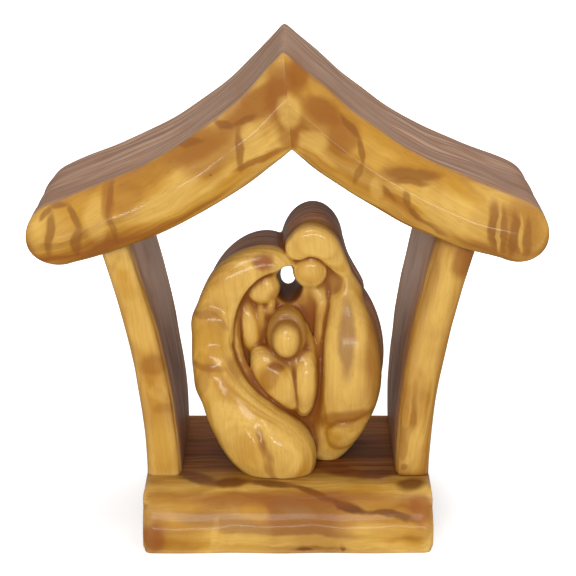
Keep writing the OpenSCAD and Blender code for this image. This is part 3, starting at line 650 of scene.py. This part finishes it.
def unitBlock(tree, given):  # finely cut block and its shares, each from 0 to 1
    block = tree.add("GeometryNodeMeshCube", {
        "Size": (1.0, 1.0, 1.0), "Vertices X": given["cuts across"], "Vertices Y": given["cuts deep"],
        "Vertices Z": given["cuts up"]})
    return block, tree.parts(tree.add("GeometryNodeInputPosition") + 0.5)


def roundCorner(a, b, middleA, middleB):  # square corner past the two middles squeezed to a quarter disc
    overA, overB = a - middleA, b - middleB
    reach = (overA * overA + overB * overB).root().most(1e-5)
    squeeze = overA.size().most(overB.size()) / reach
    return middleA + overA * squeeze, middleB + overB * squeeze


def roundBoth(a, b, halfA, halfB, r):  # rounds all four corners of a middle-centred rectangle
    insideA, insideB = a.most(r - halfA).least(halfA - r), b.most(r - halfB).least(halfB - r)
    return roundCorner(a, b, insideA, insideB)


def slowNoise(tree, spot, given):
    noise = tree.noise((spot + given["seed"]) / given["uneven size"], 1.0, 0.4, 1)
    return (noise - 0.5) * given["uneven"]


def wallShape(tree, given):
    block, (inward, deep, up) = unitBlock(tree, given)
    halfDeep = (given["back"] - given["front"]) / 2.0
    halfFoot = given["foot thickness"] / 2.0
    a, b = roundBoth((inward - 0.5) * given["foot thickness"], (deep - 0.5) * halfDeep * 2.0,
                     halfFoot, halfDeep, given["edge radius"])
    bevel = given["bevel"] * (1.0 - (b + halfDeep) / given["bevel"] / 1.6).most(0.0)
    a = a.least(halfFoot - bevel * 0.5)  # hand-cut bevel down the inner front edge
    inward, deep = a / given["foot thickness"] + 0.5, (b + halfDeep) / halfDeep / 2.0

    def across(z):
        climb = ((z - given["base top"]) / given["flare height"]).most(0.0)
        outer = given["foot x"] + given["flare"] * climb ** given["flare power"]
        thick = given["foot thickness"] + (given["top thickness"] - given["foot thickness"]) * climb
        return outer - (thick + given["back extra"] * deep * climb) * inward

    top = given["base top"] + given["flare height"]
    for _ in range(5):
        x = across(top) - given["arc x"]
        top = given["arc z"] - (given["arc radius"] * given["arc radius"] - x * x).root() - 0.05
    z = given["base top"] + (top - given["base top"]) * up
    spot = tree.vector(given["side"] * across(z), b + given["front"] + halfDeep, z)
    level = (up * (1.0 - up) * 8.0).least(1.0)
    return block, spot + slowNoise(tree, spot, given) * level * (1.0, 1.0, 0.0)


def baseShape(tree, given):
    block, (x, y, z) = unitBlock(tree, given)
    halfWide, halfDeep = given["width"] / 2.0, given["depth"] / 2.0
    x, y, z = (x - 0.5) * given["width"], (y - 0.5) * given["depth"], z * given["thickness"]
    x, y = roundBoth(x, y, halfWide, halfDeep, given["corner radius"])
    # the front top edge is rolled over, the others are only broken
    frontRoll = given["front roll"]
    y, z = roundCorner(y, z, y.most(frontRoll - halfDeep), z.least(given["thickness"] - frontRoll))
    small = given["edge radius"]
    x, z = roundBoth(x, z - given["thickness"] / 2.0, halfWide, given["thickness"] / 2.0, small)
    z = z + given["thickness"] / 2.0
    y, z = roundCorner(y, z, y.least(halfDeep - small), z.least(given["thickness"] - small))
    spot = tree.vector(x, y, z)
    sway = slowNoise(tree, spot, given) * tree.vector(1.0, 1.0, (z / 4.0).least(1.0))
    flat = tree.rise((y + halfDeep) / frontRoll, 0.6, 1.2) * tree.rise(z / given["thickness"], 0.9, 1.0)
    return block, spot + sway * (1.0 - flat)


base = {
    "width": 66.6, "depth": 50.0, "thickness": 13.6, "front roll": 9.4, "corner radius": 2.4,
    "edge radius": 1.2, "seed": 4.0, "uneven": 1.0, "uneven size": 13.0,
    "cuts across": 134, "cuts deep": 100, "cuts up": 30,
}
leftWall = {
    "side": -1.0, "front": -12.5, "back": 23.8, "base top": 13.6, "foot x": 33.0, "foot thickness": 8.0,
    "top thickness": 6.8, "back extra": 1.6, "flare": 8.9, "flare height": 54.0, "flare power": 1.8,
    "edge radius": 2.1, "bevel": 1.6, "seed": 11.0, "uneven": 0.7, "uneven size": 14.0,
    "cuts across": 18, "cuts deep": 74, "cuts up": 110,
}
rightWall = {**leftWall, "side": 1.0, "foot thickness": 7.8, "top thickness": 9.4, "seed": 23.0}
for wall, side in ((leftWall, -1), (rightWall, 1)):
    arc = underArc(side)[0]
    wall.update({"arc x": float(arc[0]), "arc z": float(arc[1]), "arc radius": float(roof["underRadius"])})

# the base heart tones are partly painted shade on the base top under the roof
baseGrain = {
    "gloss": 0.2, "seed": (1.2, 7.7, 3.3), "sway": (7.0, 5.0, 4.0), "heart": (40.0, 70.0, -20.0),
    "turn": (0, 90, 32), "ring": 3.6, "flame": 0.50, "depth": 0.8, "lines": 0.3, "heart_and_lighting_from": (-19.0, -6.0),
    "heart_and_lighting_share": 0.9, "heart gloss": 0.15, "heart_and_lighting_tone": shade(134, 70, 32),
    "heart_and_lighting_line": shade(80, 40, 20),
}
# the wall heart tones partly paint the light and shade on the inner faces
leftWallGrain = {
    "gloss": 0.3, "seed": (6.2, 1.7, 8.3), "sway": (3.0, 3.0, 4.0), "heart": (-20.0, 70.0, 0.0),
    "turn": (0, 8, 0), "ring": 2.8, "flame": 0.56, "depth": 0.7, "lines": 0.25, "heart_and_lighting_from": (-11.5, -9.0),
    "heart_and_lighting_share": 0.95, "heart gloss": 0.1, "heart_and_lighting_tone": shade(194, 144, 108),
    "heart_and_lighting_line": shade(136, 94, 66),
}
rightWallGrain = {**leftWallGrain, "seed": (2.9, 9.1, 0.6), "heart": (60.0, 70.0, 0.0), "turn": (0, -8, 0)}
baseMarks = [
    # painted shade: a broad brown patch dims the upward-facing front roll
    ((0, -22.5, 10), (34, 6, 5), (0, 0, 0), "brown", 0.45),
    ((-21.5, -13.2, 13.6), (5.8, 2.7, 2.5), (0, 0, -34), "dark", 0.8),
    ((-13.4, -15.6, 13.6), (4.8, 2.1, 2.5), (0, 0, 5), "dark", 0.9),
    ((-4.1, -16.4, 13.5), (6, 1.7, 2.5), (0, 1, -12), "dark", 0.85),
    ((5.5, -19.4, 12.5), (5.5, 1, 2.5), (0, 10, -23), "dark", 0.8),
    ((13.7, -22.3, 10.6), (4.9, 0.8, 2.5), (0, 15, -14), "dark", 0.9),
    ((23.4, -23.6, 9.1), (6.4, 0.6, 2.5), (0, 4, -3), "dark", 0.75),
    ((10.6, -7.6, 13.6), (7.4, 3.6, 2.5), (0, 0, -43), "dark", 0.9),
    ((20, -11.2, 13.6), (5.7, 2.9, 2.5), (0, 0, 8), "dark", 0.85),
    ((18.7, -19.7, 12.6), (6.9, 2.8, 2.5), (0, 3, -6), "gold", 0.6),
    ((-7.7, -23.1, 9.7), (3.8, 1.7, 2.5), (0, 18, -15), "gold", 0.6),
    ((1.7, -22.8, 9.9), (5.8, 2.1, 2.5), (0, 21, -18), "grey", 0.55),
    ((28.7, -16.4, 13.5), (2.9, 3.7, 2.5), (0, 4, -55), "dark", 0.85),
    ((-26.1, -21.8, 11.3), (6.7, 2, 2.5), (0, 5, -5), "gold", 0.5),
] + frontMarks(-24.5, 5, [
    (-31, 3.7, 2.9, 3.6, 0, "red", 0.7), (-17, 5, 0.8, 3.8, 18, "pale", 0.6),
    (-12.2, 4.1, 2.5, 1, -57, "pale", 0.5), (-24, 8.2, 4, 2.4, 0, "gold", 0.4),
    (3.7, 0.6, 2, 0.5, 0, "dark", 0.75), (12.6, 1.5, 0.7, 1.2, 0, "dark", 0.75),
    (-2.3, 1.5, 5.2, 1.2, 0, "pale", 0.3), (20.6, 5.6, 6.9, 2.1, 0, "pale", 0.35),
    (27.9, 12, 2.9, 3, 0, "red", 0.4),
]) + [
    ((0, -21.5, 12.6), (30, 2.6, 2.6), (0, 0, 0), "red", 0.5),
    ((30.5, -22, 9), (3, 3, 5.5), (0, 0, 0), "red", 0.7),
    ((-14, -24, 7.2), (12, 3, 2.2), (0, 8, 0), "grey", 0.6),
    ((9, -24.5, 4.6), (9, 3, 1.6), (0, 6, 0), "grey", 0.5),
    # painted highlight: a pale band low on the front
    ((0.5, -25, 3.2), (26, 3, 1.6), (0, 2, 0), "pale", 0.6),
]
leftWallMarks = [
    # painted light: the upper wall made paler than the shaded lower inside
    ((-36, 10, 74), (10, 19, 34), (0, -12, 0), "ash", 0.6),
] + frontMarks(-12.5, 4, [
    (-37, 67.4, 2.5, 3.2, -12, "pale", 0.6), (-33.7, 51.1, 2.9, 7.7, -14, "pale", 0.7),
    (-30.8, 41.4, 3.8, 3, -10, "brown", 0.6), (-29.8, 35.2, 2.3, 2.4, 0, "pale", 0.3),
    (-28.7, 30.7, 2.7, 1.6, 0, "brown", 0.35), (-28.9, 22.7, 2.7, 6.9, 0, "pale", 0.25),
])
rightWallMarks = [
    # painted light: the upper wall made paler than the shaded lower inside
    ((36, 10, 74), (10, 19, 34), (0, 12, 0), "ash", 0.6),
] + frontMarks(-12.5, 4, [
    (33.5, 50.3, 3.3, 16.1, 11, "pale", 0.85), (39.4, 66.2, 3.1, 4.4, 0, "brown", 0.8),
    (29.7, 33.1, 1.5, 9.3, 6, "brown", 0.3), (28.2, 33.5, 0.4, 6.4, 2, "pale", 0.5),
    (28.9, 28.2, 0.8, 3.6, 0, "brown", 0.4), (27, 15.9, 0.8, 0.8, 0, "dark", 0.5),
    (29.6, 23.1, 2.3, 3.6, -20, "pale", 0.4),
])
baseWood = oliveWood("base wood", baseGrain, baseMarks)
leftWallWood = oliveWood("left wall wood", leftWallGrain, leftWallMarks)
rightWallWood = oliveWood("right wall wood", rightWallGrain, rightWallMarks)
baseBlock = growPiece("base_wood", baseShape, base, baseWood)
leftPanel = growPiece("left_wall_wood", wallShape, leftWall, leftWallWood)
rightPanel = growPiece("right_wall_wood", wallShape, rightWall, rightWallWood)
edgeReach = {"rounds": 16, "crease": 0.5, "rub": 0.25, "hollow": 1.5}
finishPiece(baseBlock, "base", edgeReach)
finishPiece(leftPanel, "left_wall", edgeReach)
finishPiece(rightPanel, "right_wall", edgeReach)


# carved family group, one solid of blended forms

# swell: centre, half sizes, tilt, squareness (millimetres, heights above the top of the base)
familySwells = {
    "mother": {
        "body": ((-0.24, 3, 25.2), (18.2, 7.5, 25), 0, 4),
        "mother head": ((-8.4, 3.4, 41.6), (9.3, 10, 13.2), -36, 6),
    },
    "father": {
        "back": ((4.1, 8, 25.1), (18.8, 6, 23.5), 10, 3.2),
        "father head": ((5.6, 5.4, 50.6), (7.4, 8.6, 10), -3, 5),
    },
    "hood": {},
    "child": {
        "mother lap": ((-8.9, -1.2, 33.9), (3.1, 3.7, 9), 10, 2.2),
        "mother breast": ((-6.2, -0.8, 36.2), (1.7, 3.6, 6.4), 4, 2.2),
        "mother shoulder": ((-4.1, -0.8, 38.6), (1.6, 3.6, 3.4), -14, 2.2),
        "mother body": ((-6.6, -0.4, 33), (4.4, 3.2, 10), 8, 2.5),
        "child hood": ((-0.3, -3, 32.4), (4.8, 4.5, 6.6), 0, 2.8),
        "child left": ((-2.5, -3.8, 21.6), (4.9, 4.8, 9.2), 32, 2.5),
        "child right": ((4, -3.4, 20.3), (3.2, 4.8, 8.6), -3, 2.5),
        "child body": ((1.3, -2.9, 21.6), (5.3, 4.3, 9.6), 0, 2.5),
    },
    "lip": {},
}
# fold: flatness and squareness from front to back, then a band through points, each with its half width
familyFolds = {
    "mother": {
        "veil": (0.85, 3.6, [
            (0.5, -3.4, 50.6, 0.9), (-2.4, -3.4, 50.3, 1.7), (-5.6, -3.4, 49.6, 3),
            (-9.2, -3.4, 48.2, 4.1), (-13, -3.4, 45, 4.8), (-15.9, -3.6, 40.2, 4.6),
            (-17.3, -3.8, 35.4, 4.6)]),
        "arm": (0.9, 3.2, [
            (-17.5, -4, 35, 4.7), (-17.6, -4.2, 30, 4.8), (-17, -4.7, 25.5, 5.3),
            (-16, -5, 21.5, 5.6)]),
        "leg": (0.85, 2.6, [
            (-15.4, -5, 21, 5.9), (-11.6, -6, 13.8, 7.4), (-6.5, -7, 7.8, 8.9),
            (-2.1, -7.7, 4.4, 8.4), (0.1, -8.2, 3, 6.6)]),
    },
    "father": {
        "nape": (1.2, 2.4, [
            (8.2, 2.4, 53, 4), (10.6, 2, 47.5, 4.2), (12.8, 1.4, 42, 5)]),
        "robe": (0.85, 2.8, [
            (10.4, 0, 48, 2.6), (12, -0.9, 43, 3), (13.6, -1.6, 37.4, 4.8),
            (14.6, -2.2, 28.9, 6.8), (14.7, -2.3, 19.6, 7.2), (13.2, -2, 11.8, 6.1),
            (11, -1.2, 5.8, 4.9), (9.4, -0.9, 3, 4.2)]),
        "sleeve": (0.9, 2, [
            (7.9, -2, 45.5, 1.5), (8, -2.7, 40, 1.5), (7.4, -3.1, 34, 1.3), (7.1, -3.2, 27, 1.2),
            (7.5, -2.9, 18, 1.4), (7.4, -2.5, 9.9, 2.1), (6.9, -2, 3.4, 3)]),
    },
    "hood": {
        "hood": (0.85, 4.5, [
            (2.4, -2.9, 53.5, 3.1), (5.1, -2.9, 55.1, 3.9), (7.7, -2.9, 54.1, 3.7), (9.8, -2.7, 51.9, 2.9),
            (11.7, -2.4, 49.2, 2.1), (13.5, -1.8, 46.4, 1.5), (15.3, -0.9, 42.8, 1.4),
            (16.8, 0.2, 38.5, 1.3)]),
    },
    "child": {
        "child side": (0.9, 2.2, [
            (4, -3.8, 34, 0.9), (5, -4, 30.5, 1.1), (5.8, -4, 25.5, 1.1)]),
    },
    "lip": {
        "inner edge": (1, 2.2, [
            (-10.6, -3.4, 42.6, 0.5), (-11.6, -4, 39, 0.9), (-12.2, -4.5, 34.6, 1.1),
            (-11.9, -4.8, 29.6, 1.2), (-10.7, -5.2, 25.6, 1.2), (-9.1, -5.8, 22.4, 1.1),
            (-7.2, -6.4, 20, 0.8), (-5, -7, 18, 0.5)]),
    },
}
familyBlends = {"mother": 1.6, "father": 1.3, "hood": 0.8, "child": 0.8, "lip": 0.4}
# recesses sunk into one person before the others are added, and hollows cut into the whole
familyRecesses = {
    "mother": ((-1.5, -14, 33), (11.3, 11.2, 15.4), 0, 7),
    "father": ((7.2, -14, 45.4), (7.6, 11, 5.8), 22, 6),
}
familyHollows = {
    "father rim": ((5.45, -9.6, 47.3), (4.4, 6.9, 4.7), 0, 2.6),
    "child rim": ((-0.35, -9.6, 32.6), (4.6, 4.8, 6.2), 0, 2.2),
}
familyFaces = {  # plain ovals
    "father": ((5.1, -1.7, 47.7), (4.1, 3.4, 4.5), 0, 2.8),
    "mother": ((-6, -1.8, 43.5), (4.3, 3.3, 4.2), -30, 2.8),
    "child": ((-0.35, -4.9, 31.9), (3.7, 4.4, 4.9), 0, 2.3),
}
# cut line: points across the front, half width, depth
familyCuts = {
    "shoulder": ([(-21.6, 38.2), (-18.6, 38.9), (-15.7, 38.3), (-13.6, 35.2)], 2.4, 0.04),
    "elbow": ([(-21.6, 25.8), (-18.4, 26.4), (-15.2, 24.9), (-12.6, 23.3)], 2.6, 0.08),
    "knee": ([(-7.8, 14.8), (-6.6, 11.5), (-5.4, 8.3), (-4.2, 5.2), (-3.2, -1.4)], 2.2, 0.65),
    "mother cheek": ([(-5.6, 47), (-5.9, 44), (-5.9, 40.4)], 0.7, 0.25),
    "child middle": ([(1.2, 26.4), (1.6, 21), (2.6, 13)], 0.9, 0.45),
    "robe line": ([(9.3, 46), (9.3, 40.3), (7.9, 30), (8, 20)], 0.9, 0.4),
    "robe hem": ([(8.7, 4.5), (9.3, 9.3), (11.6, 11.3), (15.8, 11.8), (20.4, 14.2)], 0.9, 0.45),
}
family = {
    "foot": 13.6, "low": (-25.5, -17.5, -1.2), "high": (25.5, 16.0, 62.5), "step": 0.36,
    "group blend": 0.5, "recess blend": 0.5, "hollow blend": 0.6, "face blend": 0.4,
    "gap front": (0.2, -6.0, 44.5), "gap front radius": 5.0, "gap back": (0.1, 9.0, 42.2),
    "gap back radius": 3.0, "gap narrowness": 0.72,
    "smoothing rounds": 4, "sharpening": -0.6, "foot band": 0.3,
}
# room on the grid round a form, ahead of a recess and round a bore, and the depths of a cut line
fieldRoom = {"form": 2.5, "ahead": 30, "bore": np.array([8, 20, 8]), "line": (-20, 2)}


def splined(points, cuts=8):  # smooth path through the points, half widths included
    points = np.array(points, float)
    ends = np.concatenate([[2 * points[0] - points[1]], points, [2 * points[-1] - points[-2]]])
    path = [points[0]]
    for a, b, c, d in zip(ends[:-3], ends[1:-2], ends[2:-1], ends[3:]):
        for t in np.linspace(0, 1, cuts + 1)[1:]:
            path.append(0.5 * (2 * b + (c - a) * t + (2 * a - 5 * b + 4 * c - d) * t ** 2
                               + (3 * b - a - 3 * c + d) * t ** 3))
    return np.array(path)


class CarvedField:  # signed distance on a grid, negative inside the wood
    def __init__(self, low, high, step):
        self.low, self.step = np.array(low, float), step
        self.axes = [np.arange(a, b, step) for a, b in zip(low, high)]
        self.value = np.full([len(axis) for axis in self.axes], 9.0, np.float32)

    def window(self, low, high):
        cut = tuple(slice(*np.searchsorted(axis, (a, b))) for axis, a, b in zip(self.axes, low, high))
        return cut, np.meshgrid(*(axis[c] for axis, c in zip(self.axes, cut)), indexing="ij", sparse=True)

    def soften(self, a, b, reach):  # smaller of two, with a soft valley between
        dip = np.clip(reach - np.abs(a - b), 0, None) / reach
        return np.minimum(a, b) - dip * dip * reach / 4

    def swellDistance(self, form, grid, bullet=False):
        (cx, cy, cz), (rx, ry, rz), tilt, square = form
        x, y, z = grid
        c, s = math.cos(math.radians(tilt)), math.sin(math.radians(tilt))
        dx, dy, dz = x - cx, np.abs(y - cy), z - cz
        if bullet:  # open towards the front
            dy = np.clip(y - cy, 0, None)
        flat = ((dx * c + dz * s) / rx) ** 2 + ((dz * c - dx * s) / rz) ** 2
        level = (flat ** (square / 2) + (dy / ry) ** square + 1e-9) ** (1 / square)
        steep = [np.gradient(level, self.step, axis=k) for k in range(3)]
        return (level - 1) / np.maximum(np.sqrt(sum(g * g for g in steep)), 0.6 / max(rx, rz))

    def swellWindow(self, form, ahead=0):
        centre, (across, deep, up) = np.array(form[0]), form[1]
        spread = np.array([max(across, up), deep, max(across, up)]) + fieldRoom["form"]
        return self.window(centre - spread - np.array([0, ahead, 0]), centre + spread)

    def addSwell(self, form, reach):
        cut, grid = self.swellWindow(form)
        self.value[cut] = self.soften(self.value[cut], self.swellDistance(form, grid), reach)

    def cutSwell(self, form, reach):
        cut, grid = self.swellWindow(form, fieldRoom["ahead"])
        self.value[cut] = -self.soften(-self.value[cut], self.swellDistance(form, grid, True), reach)

    def addFold(self, flat, square, points, reach):
        points = splined(points)
        spread = points[:, 3].max() + fieldRoom["form"]
        cut, (x, y, z) = self.window(points[:, :3].min(0) - spread, points[:, :3].max(0) + spread)
        nearest = None
        for p, q in zip(points[:-1], points[1:]):
            run = q - p
            t = np.clip(((x - p[0]) * run[0] + (z - p[2]) * run[2]) / (run[0] ** 2 + run[2] ** 2), 0, 1)
            aside = (x - p[0] - t * run[0]) ** 2 + (z - p[2] - t * run[2]) ** 2
            deep = np.abs(y - p[1] - t * run[1]) / flat
            away = (aside ** (square / 2) + deep ** square) ** (1 / square) - (p[3] + t * run[3])
            nearest = away if nearest is None else np.minimum(nearest, away)
        self.value[cut] = self.soften(self.value[cut], nearest * (1 + flat) / 2, reach)

    def cutLine(self, points, halfWidth, depth):
        points = np.array(points)
        low, high = points.min(0) - halfWidth, points.max(0) + halfWidth
        front, back = fieldRoom["line"]
        cut, (x, y, z) = self.window((low[0], front, low[1]), (high[0], back, high[1]))
        deepest = 0
        for i, (p, q) in enumerate(zip(points[:-1], points[1:])):
            run = q - p
            t = np.clip(((x - p[0]) * run[0] + (z - p[1]) * run[1]) / (run @ run), 0, 1)
            away = np.hypot(x - p[0] - t * run[0], z - p[1] - t * run[1]) / halfWidth
            along = (i + t) / (len(points) - 1)
            fade = np.clip(4 * np.minimum(along, 1 - along), 0, 1)
            deepest = np.maximum(deepest, fade * np.clip(1 - away ** 2, 0, None) ** 2 * depth)
        self.value[cut] += deepest

    def cutBore(self, first, firstRadius, last, lastRadius, narrowness, reach):
        first, last = np.array(first), np.array(last)
        run = last - first
        cut, (x, y, z) = self.window(first - fieldRoom["bore"], last + fieldRoom["bore"])
        t = (y - first[1]) / run[1]
        away = np.hypot((x - first[0] - t * run[0]) / narrowness, z - first[2] - t * run[2])
        away = away - (firstRadius + np.clip(t, -0.5, 1.5) * (lastRadius - firstRadius))
        self.value[cut] = -self.soften(-self.value[cut], away, reach)

    def skin(self):  # a point in each crossed cell, a quad round each crossed edge
        value = self.value
        inside = value < 0
        corners = [inside[i:value.shape[0] - 1 + i, j:value.shape[1] - 1 + j, k:value.shape[2] - 1 + k]
                   for i in (0, 1) for j in (0, 1) for k in (0, 1)]
        mixed = np.any(corners, 0) & ~np.all(corners, 0)
        cells = np.argwhere(mixed)
        number = np.full(mixed.shape, -1)
        number[tuple(cells.T)] = np.arange(len(cells))
        total, count = np.zeros((len(cells), 3)), np.zeros(len(cells))
        for axis in range(3):
            for i in (0, 1):
                for j in (0, 1):
                    a = cells + np.insert([i, j], axis, 0)
                    b = a + np.eye(3, dtype=int)[axis]
                    va, vb = value[tuple(a.T)], value[tuple(b.T)]
                    crossed = (va < 0) != (vb < 0)
                    t = np.where(crossed, va / np.where(crossed, va - vb, 1), 0)
                    total += np.where(crossed[:, None], a + t[:, None] * (b - a), 0)
                    count += crossed
        points = total / count[:, None] * self.step + self.low
        faces = []
        for axis in range(3):
            u, v = (np.eye(3, dtype=int)[(axis + k) % 3] for k in (1, 2))
            size = np.array(value.shape) - np.eye(3, dtype=int)[axis]
            a = inside[tuple(slice(0, n) for n in size)]
            b = inside[tuple(slice(value.shape[k] - size[k], None) for k in range(3))]
            spots = np.argwhere(a != b)
            quad = np.stack([number[tuple((spots - shift).T)] for shift in (0 * u, u, u + v, v)], 1)
            outward = a[tuple(spots.T)]
            quad[~outward] = quad[~outward][:, ::-1]
            faces += quad.tolist()
        return points, faces


def carveFamily(material):
    field = CarvedField(family["low"], family["high"], family["step"])
    whole = field.value.copy()
    for group, blend in familyBlends.items():
        field.value[:] = 9.0
        for form in familySwells[group].values():
            field.addSwell(form, blend)
        for flat, square, points in familyFolds[group].values():
            field.addFold(flat, square, points, blend)
        if group in familyRecesses:
            field.cutSwell(familyRecesses[group], family["recess blend"])
        whole = field.soften(whole, field.value, family["group blend"])
    field.value = whole
    for form in familyHollows.values():
        field.cutSwell(form, family["hollow blend"])
    field.cutBore(family["gap front"], family["gap front radius"], family["gap back"],
                  family["gap back radius"], family["gap narrowness"], family["hollow blend"])
    for form in familyFaces.values():
        field.addSwell(form, family["face blend"])
    for points, halfWidth, depth in familyCuts.values():
        field.cutLine(points, halfWidth, depth)
    field.value = np.maximum(field.value, -field.axes[2][None, None, :])  # flat foot
    points, faces = field.skin()
    thing = meshObject("family_figure_wood", points + (0, 0, family["foot"]), faces, material)
    edges = meshEdges(thing.data)
    smooth = relaxed(relaxed(points, edges, family["smoothing rounds"]), edges, 1, family["sharpening"])
    smooth[:, 2] = np.where(points[:, 2] < family["foot band"], points[:, 2], smooth[:, 2])
    thing.data.vertices.foreach_set("co", ((smooth + (0, 0, family["foot"])) * mm).ravel())
    return thing


# the family heart tones are partly a painted reflection on the tops of the figures
familyGrain = {
    "gloss": 0.42, "seed": (4.4, 2.8, 6.1), "sway": (3.0, 2.0, 3.0), "heart": (6.0, 74.0, 20.0),
    "turn": (0, 4, 0), "ring": 2.2, "flame": 0.58, "depth": 0.6, "lines": 0.2, "heart_and_lighting_from": (-3.2, -1.6),
    "heart_and_lighting_share": 0.96, "heart gloss": 0.5, "heart_and_lighting_tone": shade(182, 138, 112),
    "heart_and_lighting_line": shade(116, 82, 64),
}
familyMarks = [
    # painted shade: a broad brown patch over the recessed back between the figures
    ((-1, -1.4, 46.5), (11.5, 2.6, 16), (0, 0, 0), "brown", 0.75),
    ((-19, -7, 52), (3.2, 5, 0.9), (0, 0, 0), "brown", 0.5),
    ((-15.2, -7, 50.3), (2.6, 5, 0.8), (0, 55, 0), "brown", 0.4),
    ((-18.5, -8, 39.5), (4.5, 5, 1.1), (0, 10, 0), "brown", 0.6),
    ((-3.6, -9, 37), (3.8, 4, 5), (0, 30, 0), "gold", 0.9),
    ((14.5, -7, 42), (8, 6, 19), (0, 0, 0), "brown", 0.4),
    ((12.9, -7, 43.9), (5.4, 6, 16.8), (0, 0, 0), "pale", 0.95),
    ((13.5, -7, 46), (2, 6, 10.8), (0, 0, 0), "grey", 0.8),
    ((20.6, -5, 41), (3.2, 6, 15.5), (0, 0, 0), "brown", 0.5),
] + frontMarks(-6, 5, [
    (13.4, 26, 7.5, 2.4, -12, "brown", 0.75), (15.8, 20.6, 4, 2.1, -30, "pale", 0.6),
    (-5.8, 64.3, 2.5, 2.1, 0, "red", 0.85), (-12.2, 58, 6.3, 3.6, -35, "pale", 0.6),
    # painted shade: the thin brown lines at x -11.3 and x -9.1 follow the cloak's inward-facing lip
    (-12.6, 38.9, 3.4, 3.6, 0, "brown", 0.5), (-11.3, 47, 0.7, 4.8, -4, "brown", 0.8),
    (-9.1, 38, 0.7, 5.5, -23, "brown", 0.8), (-1.6, 29.2, 7.3, 0.6, 36, "brown", 0.7),
    (-1.3, 55.6, 4, 1.8, 0, "brown", 0.4), (5.4, 50.1, 1.7, 9.1, -4, "brown", 0.6),
    (7, 32.7, 1.3, 12.1, 0, "brown", 0.7), (6.1, 69.4, 4.6, 3.6, 0, "pale", 0.5),
]) + frontMarks(-11, 5, [
    # the two brown strokes along the knee groove are pooled varnish and painted shade in the groove
    (-6.1, 22, 1.2, 3.9, -14, "brown", 0.7), (-4.1, 15.8, 1.3, 4.2, -20, "brown", 0.65),
    (-0.1, 22.1, 5.2, 6.7, 0, "pale", 0.6), (-12.9, 25.3, 5.2, 6.7, 0, "pale", 0.5),
    (-20.3, 34.7, 1.7, 10.9, 15, "brown", 0.4),
]) + [
    ((-0.5, -8.5, 46.4), (6, 8, 8.2), (0, 0, 0), "line", 0.75),
    ((-0.4, -9.9, 45.4), (3.7, 4, 4.6), (0, 0, 0), "pale", 0.95),
    ((-3, -9, 38.9), (2.5, 3, 1.2), (0, 12, 0), "line", 0.95),
    ((-1.9, -9, 33.9), (2.9, 3, 4.8), (0, -30, 0), "pale", 0.5),
    ((4.5, -9, 34.5), (1.7, 3, 5.4), (0, 0, 0), "pale", 0.5),
    # painted shade: a dark patch in the valley between the heads
    ((0.1, 4, 57.6), (4.5, 6.5, 4.5), (0, 0, 0), "dark", 0.8),
    # painted reflection: a mauve sheen on the mother's top
    ((-14.5, 5.5, 60.5), (8, 6, 5), (0, -42, 0), "mauve", 0.7),
    ((-18.2, -8, 46), (4.5, 6, 5.5), (0, 0, 0), "gold", 0.7),
    ((-4.6, -9, 36.4), (2.2, 5, 4), (0, 30, 0), "brown", 0.5),
]
familyGroup = carveFamily(oliveWood("family wood", familyGrain, familyMarks))
familyReach = {"rounds": 40, "crease": 0.25, "rub": 0.6, "hollow": 0.55}
finishPiece(familyGroup, "family_figure", familyReach)
